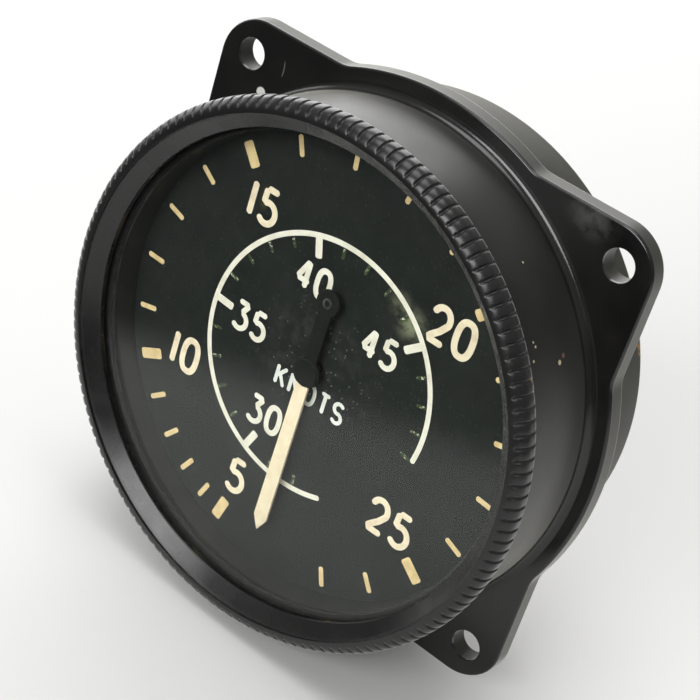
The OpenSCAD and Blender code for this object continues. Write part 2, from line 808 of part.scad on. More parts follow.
module shaft_brackets() {
    cheek_h = rocker_drop + rocker_r + bracket_crown;
    color([0.8, 0.66, 0.34]) upright() difference() {
        for (p = [[bracket_x0, -1], [bracket_x1, 1]]) {
            translate([p[0] - bracket_t / 2, rocker_y - bracket_w / 2, back_plate_z0 - cheek_h])
                cube([bracket_t, bracket_w, cheek_h]);
            translate([p[0] + (p[1] > 0 ? 0 : -foot_len), rocker_y - bracket_w / 2, back_plate_z0 - foot_t])
                cube([foot_len, bracket_w, foot_t]);
        }
        translate([0, rocker_y, rocker_z])
            along_x(pivot_r + run_clear, bracket_x0 - bracket_t, bracket_x1 + bracket_t);
        at_brackets() translate([0, 0, back_plate_z0 - foot_t - over])
            cylinder(r = screw_r + seat_clear, h = foot_t + 2 * over);
    }
}

module bracket_screws() {
    color([0.6, 0.6, 0.58]) upright() at_brackets() translate([0, 0, back_plate_z1]) screw(plate_t + foot_t);
}

// Half section of one diaphragm: a flat rim, ripples and a flat middle, rising by h
function diaphragm_line(h, mid_r) =
    let (inner = capsule_r - capsule_rim_w, rippled = inner - mid_r, steps = 4 * ripples)
    concat([[capsule_r, 0], [inner, 0]],
        [for (i = [1:steps]) let (t = i / steps)
            [inner - rippled * t, h * t + ripple_h * sin(360 * ripples * t)]]);

module diaphragm(h, mid_r, hole) {
    line = diaphragm_line(h, mid_r);
    last = len(line) - 1;
    rotate_extrude() polygon(concat(
        line, [[hole, h], [hole, h + diaphragm_t]],
        [for (i = [last:-1:0]) line[i] + [0, diaphragm_t]]));
}

module capsule_front() {
    color([0.75, 0.5, 0.3]) upright() translate([0, 0, rim_z])
        diaphragm(capsule_top - rim_z - diaphragm_t, front_mid_r, 0);
}

module capsule_back() {
    color([0.75, 0.5, 0.3]) upright() translate([0, 0, rim_z]) mirror([0, 0, 1])
        diaphragm(rim_z - nut_top - diaphragm_t, back_mid_r, stem_r + seat_clear);
}

module capsule_stud() {
    color([0.82, 0.68, 0.36]) upright() translate([0, 0, capsule_top]) {
        cylinder(r = stud_foot_r, h = stud_foot_h);
        cylinder(r = stud_pin_r, h = stud_len);
    }
}

case();
bezel();
glass();
glass_gasket();
spacer_ring();
dial();
pointer();
pitot_union();
static_union();
union_washers();
union_nuts();
case_screws();
long_pillars();
back_plate();
back_plate_screws();
back_bushes();
short_pillars();
front_plate();
front_plate_screws();
front_bushes();
sector_gear();
sector_arbor();
sector_pin();
idler_pinion();
idler_wheel();
hand_staff();
hand_pinion();
hairspring();
hairspring_collet();
hairspring_stud();
rocking_shaft();
capsule_arm();
striker_arm();
shaft_brackets();
bracket_screws();
capsule_back();
capsule_front();
capsule_stud();
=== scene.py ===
import math

import bmesh
import bpy
from mathutils import Matrix, Vector


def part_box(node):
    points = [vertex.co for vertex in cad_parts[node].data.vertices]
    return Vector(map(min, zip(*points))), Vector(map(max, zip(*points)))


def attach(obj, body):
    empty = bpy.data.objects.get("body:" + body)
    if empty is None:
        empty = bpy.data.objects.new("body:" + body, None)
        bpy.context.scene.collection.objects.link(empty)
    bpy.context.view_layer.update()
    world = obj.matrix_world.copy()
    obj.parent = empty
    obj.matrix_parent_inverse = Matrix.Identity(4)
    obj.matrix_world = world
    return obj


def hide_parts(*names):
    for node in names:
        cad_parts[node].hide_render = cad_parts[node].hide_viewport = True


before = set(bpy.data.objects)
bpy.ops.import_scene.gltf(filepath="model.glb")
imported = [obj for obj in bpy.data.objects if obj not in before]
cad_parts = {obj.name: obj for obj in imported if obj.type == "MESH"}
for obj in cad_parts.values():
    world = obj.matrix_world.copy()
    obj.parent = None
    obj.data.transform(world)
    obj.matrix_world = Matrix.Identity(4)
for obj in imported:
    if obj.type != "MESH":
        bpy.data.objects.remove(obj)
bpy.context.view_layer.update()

# Airspeed indicator seen from the front right and above. Sizes are in metres, and those of whole
# pieces are read from the frame. A piece is drawn on the bench, x right, y up and z towards the
# viewer, and bench() stands it upright with its dial facing -Y.

MM = 0.001
TURN = 2 * math.pi


def bench(x, y, z):
    return Vector((x, -z, y))


def ring_point(radius, degrees, height):
    """Place on a ring round the axis, degrees up from the right."""
    angle = math.radians(degrees)
    return bench(radius * math.cos(angle), radius * math.sin(angle), height)


def front_of(node):
    return -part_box(node)[0][1]


def back_of(node):
    return -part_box(node)[1][1]


def radius_of(node):
    low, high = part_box(node)
    return (high[0] - low[0]) / 2


# Sizes shared by several pieces

HOLE_R = 2.5 * MM
HOLE_REACH = 34.2 * MM
CASE_REAR = back_of("case")
FLANGE_R = radius_of("case")
FLANGE_T = 3.5 * MM
LUG_HALF = 39.9 * MM
LUG_CORNER_R = 7.2 * MM
FRONT_R = 40.2 * MM
REAR_R = 39.4 * MM
CAVITY_R = 36.2 * MM
NOSE_R = 39.2 * MM
NOSE_FRONT = front_of("case")
BEZEL_R = radius_of("bezel")
BEZEL_FRONT = front_of("bezel")
BEZEL_BACK = back_of("bezel")
WINDOW_R = 37.2 * MM
GLASS_R = radius_of("glass")
GLASS_FRONT = front_of("glass")
GLASS_BACK = back_of("glass")
GASKET_BACK = back_of("glass_gasket")
DIAL_R = radius_of("dial")
DIAL_FACE = front_of("dial")
DIAL_BACK = back_of("dial")
FLOOR_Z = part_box("case")[0][2]


# Mesh helpers

def new_piece(name, mesh, *materials):
    """Object at the origin with these materials, in the scene."""
    piece = bpy.data.objects.new(name, mesh)
    bpy.context.collection.objects.link(piece)
    for material in materials:
        mesh.materials.append(material)
    return piece


def finish_mesh(mesh, sharp_deg):
    """Smooth shading with crisp edges where faces meet at more than sharp_deg."""
    mesh.shade_smooth()
    mesh.set_sharp_from_angle(angle=math.radians(sharp_deg))


def rounded(corners, steps):
    """Closed outline of (x, y, rounding) corners, each eased with an arc.

    A point just before and after each arc keeps the shading of the flats beside it flat. A small
    arc takes fewer steps.
    """
    small_arc = 0.5 * MM
    small_steps = 4
    points = []
    for i, (x, y, ease) in enumerate(corners):
        here = Vector((x, y))
        if ease <= 0:
            points.append(here)
            continue
        before = (Vector(corners[i - 1][:2]) - here).normalized()
        after = (Vector(corners[(i + 1) % len(corners)][:2]) - here).normalized()
        half = before.angle(after) / 2
        centre = here + (before + after).normalized() * (ease / math.sin(half))
        start = here + before * (ease / math.tan(half)) - centre
        end = here + after * (ease / math.tan(half)) - centre
        sweep = start.angle_signed(end)
        hold = min(0.12 * ease, 0.03 * MM)
        count = steps if ease > small_arc else min(steps, small_steps)
        points.append(centre + start + before * hold)
        for k in range(count + 1):
            points.append(centre + Matrix.Rotation(-sweep * k / count, 2) @ start)
        points.append(centre + end + after * hold)
    return points


def even_turn(count):
    return [TURN * i / count for i in range(count)]


def closed_mesh(name, work):
    """Plain mesh of a finished bmesh, its faces outward."""
    bmesh.ops.recalc_face_normals(work, faces=work.faces)
    mesh = bpy.data.meshes.new(name)
    work.to_mesh(mesh)
    work.free()
    return mesh


def lathe(name, profile, angles, radius_at=None):
    """Closed solid turned from a closed profile of (radius, height) points.

    radius_at(i, r, angle) may give point i of the profile another radius at each angle.
    """
    work = bmesh.new()
    columns = []
    poles = {i: work.verts.new(bench(0, 0, p[1])) for i, p in enumerate(profile) if p[0] < 1e-7}
    for angle in angles:
        column = []
        for i, (r, z) in enumerate(profile):
            if i in poles:
                column.append(poles[i])
                continue
            wide = radius_at(i, r, angle) if radius_at else r
            column.append(work.verts.new(bench(wide * math.cos(angle), wide * math.sin(angle), z)))
        columns.append(column)
    count = len(profile)
    for c, column in enumerate(columns):
        other = columns[(c + 1) % len(columns)]
        for i in range(count):
            j = (i + 1) % count
            corners = []
            for vert in (column[i], column[j], other[j], other[i]):
                if vert not in corners:
                    corners.append(vert)
            if len(corners) > 2:
                work.faces.new(corners)
    return closed_mesh(name, work)


def plate(name, outline, z0, z1):
    """Closed plate between heights z0 and z1, from an outline of (x, y) points."""
    work = bmesh.new()
    low = [work.verts.new(bench(x, y, z0)) for x, y in outline]
    high = [work.verts.new(bench(x, y, z1)) for x, y in outline]
    work.faces.new(low)
    work.faces.new(high)
    for i in range(len(outline)):
        j = (i + 1) % len(outline)
        work.faces.new((low[i], low[j], high[j], high[i]))
    return closed_mesh(name, work)


def settle(piece):
    """Turns what the piece's modifiers make into its plain mesh."""
    graph = bpy.context.evaluated_depsgraph_get()
    mesh = bpy.data.meshes.new_from_object(piece.evaluated_get(graph))
    old = piece.data
    piece.modifiers.clear()
    if piece.type == "MESH":
        piece.data = mesh
        return piece
    name = piece.name
    bpy.data.objects.remove(piece)
    plain = bpy.data.objects.new(name, mesh)
    plain.name = name
    bpy.context.collection.objects.link(plain)
    bpy.data.curves.remove(old)
    return plain


def soften(piece, limit_deg):
    """Narrow bevel on the edges sharper than limit_deg."""
    bevel = piece.modifiers.new("soft edges", "BEVEL")
    bevel.width = 0.09 * MM
    bevel.segments = 2
    bevel.limit_method = "ANGLE"
    bevel.angle_limit = math.radians(limit_deg)
    settle(piece)


def cut(piece, cutters):
    """Cuts these meshes out of the piece and merges the slivers left behind."""
    for mesh in cutters:
        tool = new_piece("cutter", mesh)
        modifier = piece.modifiers.new("cut", "BOOLEAN")
        modifier.operation = "DIFFERENCE"
        modifier.solver = "EXACT"
        modifier.object = tool
        settle(piece)
        bpy.data.objects.remove(tool)
    work = bmesh.new()
    work.from_mesh(piece.data)
    sliver = 0.01 * MM
    bmesh.ops.remove_doubles(work, verts=work.verts, dist=sliver)
    bmesh.ops.dissolve_degenerate(work, edges=work.edges, dist=sliver)
    work.to_mesh(piece.data)
    work.free()


def moved(mesh, x, y):
    mesh.transform(Matrix.Translation(bench(x, y, 0)))
    return mesh


# Node helpers

class Nodes:
    """Adds nodes to a tree, with their inputs set or linked. A value may be a number or a socket."""

    step = 200

    def __init__(self, tree):
        self.tree = tree

    def node(self, kind, inputs=None, **settings):
        node = self.tree.nodes.new(kind)
        node.location.x = self.step * len(self.tree.nodes)
        for key, value in settings.items():
            setattr(node, key, value)
        for key, value in (inputs or {}).items():
            self.feed(node.inputs[key], value)
        return node

    def feed(self, socket, value):
        if isinstance(value, bpy.types.NodeSocket):
            self.tree.links.new(value, socket)
        elif socket.type == "RGBA" and len(value) == 3:
            socket.default_value = (*value, 1)
        else:
            socket.default_value = value

    def math(self, operation, *values):
        return self.node("ShaderNodeMath", dict(enumerate(values)), operation=operation).outputs[0]

    def add(self, first, second):
        return self.math("ADD", first, second)

    def less(self, first, second):
        return self.math("SUBTRACT", first, second)

    def times(self, first, second):
        return self.math("MULTIPLY", first, second)

    def over(self, first, second):
        return self.math("DIVIDE", first, second)

    def least(self, first, second):
        return self.math("MINIMUM", first, second)

    def most(self, first, second):
        return self.math("MAXIMUM", first, second)

    def hypot(self, first, second):
        return self.math("SQRT", self.add(self.times(first, first), self.times(second, second)))

    def vector(self, operation, *values):
        node = self.node("ShaderNodeVectorMath", dict(enumerate(values)), operation=operation)
        return node.outputs["Value" if operation in ("LENGTH", "DOT_PRODUCT") else "Vector"]

    def split(self, vector):
        return self.node("ShaderNodeSeparateXYZ", {0: vector}).outputs

    def ramp(self, value, low, high, start=0.0, end=1.0, shape="SMOOTHSTEP"):
        """start below low, end above high, smooth between unless another shape is given."""
        node = self.node("ShaderNodeMapRange", {
            "Value": value, "From Min": low, "From Max": high, "To Min": start, "To Max": end},
            interpolation_type=shape)
        return node.outputs[0]


class Tree(Nodes):
    """Geometry node tree with named inputs."""

    def __init__(self, name, **inputs):
        super().__init__(bpy.data.node_groups.new(name, "GeometryNodeTree"))
        face = self.tree.interface
        face.new_socket("Geometry", in_out="INPUT", socket_type="NodeSocketGeometry")
        self.sockets = {}
        for label, value in inputs.items():
            kind = "NodeSocketInt" if isinstance(value, int) else "NodeSocketFloat"
            socket = face.new_socket(label, in_out="INPUT", socket_type=kind)
            socket.default_value = value
            self.sockets[label] = socket.identifier
        material = face.new_socket("Material", in_out="INPUT", socket_type="NodeSocketMaterial")
        self.sockets["Material"] = material.identifier
        face.new_socket("Geometry", in_out="OUTPUT", socket_type="NodeSocketGeometry")
        self.start = self.tree.nodes.new("NodeGroupInput")

    def value(self, label):
        return self.start.outputs[label]

    def position(self):
        return self.split(self.node("GeometryNodeInputPosition").outputs[0])

    def put(self, geometry, x, y, z):
        """Geometry with its points at these coordinates."""
        target = self.node("ShaderNodeCombineXYZ", {0: x, 1: y, 2: z}).outputs[0]
        return self.node("GeometryNodeSetPosition", {"Geometry": geometry, "Position": target}).outputs[0]

    def sweep(self, curve, radius, sides):
        """Mesh along a curve, with a section of this radius and this many sides."""
        sized = self.node("GeometryNodeSetCurveRadius", {"Curve": curve, "Radius": radius})
        section = self.node("GeometryNodeCurvePrimitiveCircle", {"Resolution": sides, "Radius": 1.0},
                            mode="RADIUS")
        body = self.node("GeometryNodeCurveToMesh", {
            "Curve": sized.outputs[0], "Profile Curve": section.outputs[0], "Fill Caps": True})
        if "Scale" in body.inputs:
            self.feed(body.inputs["Scale"], self.node("GeometryNodeInputRadius").outputs[0])
        return body.outputs[0]

    def end(self, geometry):
        real = self.node("GeometryNodeRealizeInstances", {"Geometry": geometry})
        paint = self.node("GeometryNodeSetMaterial", {
            "Geometry": real.outputs[0], "Material": self.value("Material")})
        self.node("NodeGroupOutput", {0: paint.outputs[0]})

    def apply(self, piece, material, **values):
        modifier = piece.modifiers.new(self.tree.name, "NODES")
        modifier.node_group = self.tree
        modifier[self.sockets["Material"]] = material
        for label, value in values.items():
            modifier[self.sockets[label]] = value
        piece.update_tag()
        return settle(piece)


def knurl_tree():
    """Mills round-bottomed flutes across a bead-shaped ring, towards the middle of its section."""
    tree = Tree("milled_flutes", Flutes=100, Radius=1.0, Height=0.0, Depth=0.1, Crown=0.02, Width=0.4,
                Front=60.0, Back=-60.0, Fade=10.0)
    x, y, z = tree.position()
    radius = tree.hypot(x, z)
    out = tree.less(radius, tree.value("Radius"))
    ahead = tree.less(tree.times(y, -1.0), tree.value("Height"))
    reach = tree.hypot(out, ahead)
    bearing = tree.math("DEGREES", tree.math("ARCTAN2", ahead, out))
    # Past the end of a flute, in fades: 0 within it and 1 where it has run out
    middle = tree.times(tree.add(tree.value("Front"), tree.value("Back")), 0.5)
    half = tree.times(tree.less(tree.value("Front"), tree.value("Back")), 0.5)
    past = tree.less(tree.math("ABSOLUTE", tree.less(bearing, middle)), half)
    past = tree.most(tree.over(past, tree.value("Fade")), 0.0)
    # Across a flute: 0 at its middle and 1 at the middle of the rib beside it
    pitch = tree.over(TURN, tree.value("Flutes"))
    along = tree.math("FRACT", tree.over(tree.add(tree.math("ARCTAN2", z, x), TURN), pitch))
    across = tree.times(tree.math("ABSOLUTE", tree.less(along, 0.5)), 2.0)
    off = tree.over(across, tree.value("Width"))
    spread = tree.add(tree.times(off, off), tree.times(past, past))
    scoop = tree.math("SQRT", tree.most(tree.less(1.0, spread), 0.0))
    arch = tree.math("POWER", tree.less(1.0, across), 2.0)
    arch = tree.times(arch, tree.most(tree.less(1.0, past), 0.0))
    bite = tree.add(tree.times(tree.value("Depth"), scoop), tree.times(tree.value("Crown"), arch))
    share = tree.over(bite, tree.most(reach, 0.1 * MM))
    inwards = tree.over(tree.less(radius, tree.times(out, share)), radius)
    lower = tree.add(y, tree.times(ahead, share))
    tree.end(tree.put(tree.value("Geometry"), tree.times(x, inwards), lower, tree.times(z, inwards)))
    return tree


def stroke_tree():
    """Lays paint along curves: as wide as each curve's radius, with eased ends and a low crown."""
    tree = Tree("painted_strokes", Ease=0.0003, Step=0.0002, Crown=0.06, Face=0.0)
    even = tree.node("GeometryNodeResampleCurve", {
        "Curve": tree.value("Geometry"), "Length": tree.value("Step")}, mode="LENGTH")
    half = tree.node("GeometryNodeInputRadius").outputs[0]
    run = tree.node("GeometryNodeSplineParameter").outputs["Length"]
    whole = tree.node("GeometryNodeSplineLength").outputs["Length"]
    cyclic = tree.node("GeometryNodeInputSplineCyclic").outputs[0]
    to_end = tree.least(run, tree.less(whole, run))
    ease = tree.least(tree.value("Ease"), half)
    back = tree.less(1.0, tree.least(tree.over(to_end, ease), 1.0))
    bow = tree.math("SQRT", tree.less(1.0, tree.times(back, back)))
    drop = tree.times(ease, tree.less(1.0, bow))
    open_only = tree.times(drop, tree.less(1.0, cyclic))
    width = tree.most(tree.less(half, open_only), tree.times(half, 0.02))
    body = tree.sweep(even.outputs[0], width, 10)
    x, y, z = tree.position()
    rise = tree.times(tree.less(y, tree.value("Face")), tree.value("Crown"))
    tree.end(tree.put(body, x, tree.add(tree.value("Face"), rise), z))
    return tree


def thread_tree():
    """Screw thread: a ridge wound round the piece's long axis from Start, tapering away at both ends."""
    tree = Tree("screw_thread", Turns=8.0, Radius=0.005, Start=0.0, Length=0.01, Ridge=0.0004)
    spiral = tree.node("GeometryNodeCurveSpiral", {
        "Resolution": 48, "Rotations": tree.value("Turns"), "Start Radius": tree.value("Radius"),
        "End Radius": tree.value("Radius"), "Height": tree.value("Length")})
    share = tree.node("GeometryNodeSplineParameter").outputs["Factor"]
    ends = tree.times(tree.least(share, tree.less(1.0, share)), 12.0)
    taper = tree.most(tree.least(ends, 1.0), 0.05)
    ridge = tree.sweep(spiral.outputs[0], tree.times(tree.value("Ridge"), taper), 4)
    start = tree.node("ShaderNodeCombineXYZ", {"Y": tree.value("Start")})
    laid = tree.node("GeometryNodeTransform", {
        "Geometry": ridge, "Translation": start.outputs[0], "Rotation": (-math.pi / 2, 0, 0)})
    both = tree.node("GeometryNodeJoinGeometry")
    for part in (laid.outputs[0], tree.value("Geometry")):
        tree.feed(both.inputs[0], part)
    tree.end(both.outputs[0])
    return tree


class Finish(Nodes):
    """Procedural material on one Principled shader, patterned in Object coordinates."""

    step = -200

    def __init__(self, name, colour, roughness, **sockets):
        self.material = bpy.data.materials.new(name)
        self.material.use_nodes = True
        super().__init__(self.material.node_tree)
        self.shader = self.tree.nodes["Principled BSDF"]
        self.set("Base Color", colour)
        self.set("Roughness", roughness)
        for label, value in sockets.items():
            self.set(label.replace("_", " "), value)
        self.place = self.node("ShaderNodeTexCoord").outputs["Object"]

    def set(self, label, value):
        self.feed(self.shader.inputs[label], value)

    def noise(self, size, detail=3.0, rough=0.5, stretch=(1, 1, 1)):
        """Noise from 0 to 1 with features about this large, in metres."""
        place = self.place
        if stretch != (1, 1, 1):
            place = self.node("ShaderNodeMapping", {"Vector": place, "Scale": stretch}).outputs[0]
        node = self.node("ShaderNodeTexNoise", {
            "Vector": place, "Scale": 1 / size, "Detail": detail, "Roughness": rough})
        return node.outputs["Fac"]

    def near(self, centre, reach, stretch=(1, 1, 1)):
        """1 at a place of the part, falling to 0 at this reach."""
        away = self.vector("MULTIPLY", self.vector("SUBTRACT", self.place, centre), stretch)
        return self.ramp(self.vector("LENGTH", away), 0.0, reach, 1.0, 0.0)

    def radius(self, centre=(0, 0, 0)):
        """Distance from an axis through this place, towards the viewer."""
        flat = self.vector("MULTIPLY", self.vector("SUBTRACT", self.place, centre), (1, 0, 1))
        return self.vector("LENGTH", flat)

    def height(self):
        """Height on the bench, towards the viewer."""
        return self.times(self.split(self.place)[1], -1.0)

    def mix(self, share, first, second):
        """Colour between two others."""
        return self.node("ShaderNodeMix", {0: share, 6: first, 7: second}, data_type="RGBA").outputs[2]

    def blend(self, share, first, second):
        """Number between two others."""
        return self.node("ShaderNodeMix", {0: share, 2: first, 3: second}, data_type="FLOAT").outputs[0]

    def bump(self, height, depth, strength):
        node = self.node("ShaderNodeBump", {"Height": height, "Distance": depth, "Strength": strength})
        self.set("Normal", node.outputs[0])


# Finishes

def moulded_black():
    """Black moulding: glossy flange, satin front, dull grey-brown behind, chalky on the flange's edge."""
    finish = Finish("moulded_black", (0.012, 0.012, 0.011), 0.3, Specular_IOR_Level=0.6,
                    Sheen_Weight=1.0, Sheen_Roughness=0.28, Sheen_Tint=(1.0, 0.99, 0.92))
    level = finish.height()
    mottle = finish.noise(9 * MM, 4.0)
    grain = finish.noise(0.35 * MM)
    behind = finish.ramp(level, -FLANGE_T - 0.2 * MM, -FLANGE_T + 0.2 * MM, 1.0, 0.0)
    rim = finish.times(finish.ramp(finish.radius(), FLANGE_R - 1.2 * MM, FLANGE_R - 0.2 * MM),
                       finish.ramp(level, -0.7 * MM, -0.35 * MM, 1.0, 0.0))
    dull = finish.most(behind, finish.times(rim, 0.8))
    black = finish.mix(finish.ramp(mottle, 0.35, 0.7), (0.0050, 0.0050, 0.0050), (0.0085, 0.0085, 0.0075))
    grey = finish.mix(finish.ramp(mottle, 0.3, 0.7), (0.030, 0.030, 0.022), (0.048, 0.047, 0.034))
    body = finish.mix(dull, black, grey)
    # Cream specks and a reddish nick on the front, an amber stain at the rear edge
    speck = finish.ramp(finish.near(ring_point(FRONT_R, 31.0, 7.45 * MM), 0.6 * MM), 0.25, 0.4)
    dots = ((36.0, 12.7, 0.35), (37.0, 13.0, 0.30), (33.5, 13.8, 0.35), (52.0, 9.0, 0.28))
    for degrees, height, reach in dots:
        dot = finish.near(ring_point(FRONT_R, degrees, height * MM), reach * MM)
        speck = finish.most(speck, finish.ramp(dot, 0.25, 0.5))
    nick = finish.ramp(finish.near(ring_point(FRONT_R, 32.0, 6.3 * MM), 0.8 * MM), 0.35, 0.8)
    stain = finish.times(finish.near(ring_point(REAR_R, 25.6, CASE_REAR), 3.2 * MM), finish.noise(1.2 * MM))
    body = finish.mix(finish.ramp(stain, 0.2, 0.35), body, (0.42, 0.22, 0.05))
    body = finish.mix(nick, body, (0.16, 0.09, 0.07))
    body = finish.mix(speck, body, (0.62, 0.56, 0.36))
    # A dab of white paint on the flange
    dab = finish.ramp(finish.near(bench(-30.6 * MM, 29.4 * MM, 0), 1.2 * MM, (0.85, 1, 0.9)), 0.25, 0.5)
    body = finish.mix(dab, body, (0.80, 0.79, 0.74))
    # A curved scratch beside the upper left hole
    bow_r = 6.6 * MM
    bow = finish.less(finish.radius(bench(-HOLE_REACH, HOLE_REACH, 0)), bow_r)
    scratch = finish.times(finish.ramp(finish.math("ABSOLUTE", bow), 0.05 * MM, 0.16 * MM, 1.0, 0.0),
                           finish.near(bench(-27.6 * MM, 34.6 * MM, 0), 1.9 * MM))
    body = finish.mix(finish.ramp(scratch, 0.1, 0.6, 0.0, 0.6), body, (0.20, 0.20, 0.19))
    # A painted reflection: a pale patch near the upper right hole, on the flange's face only
    painted_reflection = finish.times(finish.near(bench(28.2 * MM, 38.6 * MM, 0), 4.2 * MM, (0.75, 1, 1)),
                         finish.ramp(finish.noise(2.5 * MM), 0.3, 0.6))
    painted_reflection = finish.times(painted_reflection, finish.ramp(level, -0.2 * MM, -0.05 * MM))
    body = finish.mix(finish.times(painted_reflection, 0.8), body, (0.085, 0.085, 0.080))
    finish.set("Base Color", body)
    gloss = finish.blend(finish.ramp(level, 0.5 * MM, 2.0 * MM), 0.18, 0.42)
    gloss = finish.add(gloss, finish.ramp(mottle, 0.3, 0.8, -0.03, 0.06))
    finish.set("Roughness", finish.blend(dull, gloss, 0.62))
    drawn = finish.noise(0.5 * MM, 2.0, 0.6, (1, 14, 1))
    finish.bump(finish.add(grain, finish.times(drawn, 0.35)), 0.012 * MM, 0.35)
    return finish.material


def bezel_enamel():
    """Black stoving enamel over brass: the brass shows where the back edge of the knurl has rubbed."""
    finish = Finish("bezel_enamel", (0.013, 0.013, 0.013), 0.24, Specular_IOR_Level=0.55,
                    Sheen_Roughness=0.3)
    mottle = finish.noise(5 * MM, 4.0)
    fine = finish.noise(0.3 * MM)
    level = finish.height()
    at_back = finish.ramp(level, BEZEL_BACK + 1.3 * MM, BEZEL_BACK + 1.9 * MM, 1.0, 0.0)
    streak = finish.near(ring_point(BEZEL_R - 0.4 * MM, 30.2, BEZEL_BACK + 1.5 * MM), 2.2 * MM)
    worn = finish.times(finish.times(streak, at_back), finish.ramp(fine, 0.3, 0.5))
    worn = finish.ramp(worn, 0.12, 0.3)
    rubbed = finish.times(at_back, finish.ramp(finish.noise(7 * MM, 2.0), 0.62, 0.72))
    rubbed = finish.times(rubbed, finish.ramp(fine, 0.45, 0.6))
    dust = finish.ramp(finish.noise(1.1 * MM, 5.0, 0.7), 0.6, 0.8)
    black = finish.mix(finish.times(dust, 0.5), (0.008, 0.008, 0.008), (0.036, 0.036, 0.033))
    black = finish.mix(finish.times(rubbed, 0.6), black, (0.16, 0.10, 0.06))
    finish.set("Base Color", finish.mix(worn, black, (0.80, 0.60, 0.33)))
    finish.set("Metallic", worn)
    # The knurl is duller than the dished face inside it, and dusty
    radius = finish.radius()
    finish.set("Sheen Weight", finish.ramp(radius, 39.3 * MM, 40.6 * MM, 0.0, 0.6))
    gloss = finish.ramp(radius, 38.9 * MM, 39.5 * MM, 0.24, 0.31)
    finish.set("Roughness", finish.add(gloss, finish.ramp(mottle, 0.3, 0.8, -0.03, 0.08)))
    finish.bump(fine, 0.012 * MM, 0.4)
    return finish.material


def window_glass():
    """Clear glass, very slightly green."""
    finish = Finish("window_glass", (0.97, 0.99, 0.98), 0.0, Transmission_Weight=1.0, IOR=1.32)
    tint = finish.ramp(finish.noise(14 * MM), 0.35, 0.7)
    finish.set("Base Color", finish.mix(tint, (0.97, 0.99, 0.98), (0.95, 0.98, 0.96)))
    return finish.material


def dull_enamel(name, colour, other, roughness, size, shine=0.25):
    """Dull paint with slow changes of tone and a fine grain."""
    finish = Finish(name, colour, roughness, Specular_IOR_Level=shine)
    slow = finish.noise(size, 4.0)
    finish.set("Base Color", finish.mix(finish.ramp(slow, 0.3, 0.7), colour, other))
    finish.set("Roughness", finish.ramp(slow, 0.2, 0.8, roughness - 0.05, roughness + 0.08))
    finish.bump(finish.noise(0.25 * MM), 0.01 * MM, 0.4)
    return finish.material


def dial_black():
    """Matt black dial: greenish grey-black with dust, denser at the middle, a stain and a smudge."""
    finish = Finish("dial_black", (0.012, 0.0145, 0.0128), 0.75, Specular_IOR_Level=0.08)
    slow = finish.noise(13 * MM, 4.0)
    black = finish.mix(finish.ramp(slow, 0.3, 0.7), (0.0095, 0.0120, 0.0105), (0.0145, 0.0170, 0.0148))
    # A film and single specks of dust
    middle = finish.ramp(finish.radius(), 4 * MM, 14 * MM, 1.0, 0.15)
    film = finish.times(finish.ramp(finish.noise(2.2 * MM, 5.0, 0.65), 0.42, 0.72), middle)
    black = finish.mix(finish.times(film, 0.6), black, (0.05, 0.053, 0.048))
    cell = 0.75 * MM
    cells = finish.node("ShaderNodeTexVoronoi", {
        "Vector": finish.place, "Scale": 1 / cell, "Randomness": 1.0})
    chance = finish.node("ShaderNodeSeparateColor", {0: cells.outputs["Color"]}).outputs[0]
    dot = finish.ramp(cells.outputs["Distance"], 0.08, 0.24, 1.0, 0.0)
    dust = finish.times(finish.times(finish.ramp(chance, 0.48, 0.50), dot), middle)
    # The stain and the smudge beside two of the figures
    stain = finish.near(bench(-16.9 * MM, 20.2 * MM, DIAL_FACE), 2.2 * MM, (1.8, 1, 0.8))
    black = finish.mix(finish.times(stain, 0.5), black, (0.13, 0.11, 0.035))
    fainter = finish.times(finish.near(bench(10.4 * MM, 17.0 * MM, DIAL_FACE), 3.0 * MM), 0.6)
    smudge = finish.most(finish.near(bench(12.7 * MM, 15.3 * MM, DIAL_FACE), 3.6 * MM), fainter)
    smudge = finish.times(smudge, finish.ramp(finish.noise(1.6 * MM, 4.0), 0.25, 0.6))
    black = finish.mix(finish.times(smudge, 0.8), black, (0.26, 0.28, 0.17))
    finish.set("Base Color", finish.mix(finish.times(dust, 0.5), black, (0.30, 0.31, 0.29)))
    finish.bump(finish.noise(0.16 * MM, 2.0), 0.004 * MM, 0.25)
    return finish.material


def aged_paint(name, colour, darker, wear=0.0):
    """Old luminous paint: uneven cream with darker grains, and gaps where it has flaked."""
    finish = Finish(name, colour, 0.7, Specular_IOR_Level=0.3)
    patch = finish.noise(1.6 * MM, 4.0)
    grain = finish.noise(0.22 * MM)
    tone = finish.mix(finish.ramp(patch, 0.35, 0.75), colour, darker)
    tone = finish.mix(finish.ramp(grain, 0.56, 0.72, 0.0, 0.35), tone, darker)
    if wear:
        gone = finish.ramp(finish.noise(0.55 * MM, 4.0), 0.62 - wear, 0.66 - wear)
        tone = finish.mix(gone, tone, (0.03, 0.05, 0.015))
    finish.set("Base Color", tone)
    finish.bump(grain, 0.02 * MM, 0.5)
    return finish.material


def bare_metal(name, colour, tarnish, roughness, size=4 * MM):
    """Machined metal with fine tool lines and a little tarnish."""
    finish = Finish(name, colour, roughness, Metallic=1.0)
    slow = finish.noise(size, 4.0)
    finish.set("Base Color", finish.mix(finish.ramp(slow, 0.4, 0.75), colour, tarnish))
    finish.set("Roughness", finish.ramp(slow, 0.3, 0.8, roughness - 0.06, roughness + 0.14))
    finish.bump(finish.noise(0.12 * MM, 2.0), 0.006 * MM, 0.35)
    return finish.material


def sealing_stuff(name, colour, other, roughness):
    """Rubber or fibre: soft mottle and a coarse grain."""
    finish = Finish(name, colour, roughness)
    finish.set("Base Color", finish.mix(finish.ramp(finish.noise(1.2 * MM, 4.0), 0.35, 0.7), colour, other))
    finish.bump(finish.noise(0.4 * MM, 4.0, 0.65), 0.05 * MM, 0.6)
    return finish.material


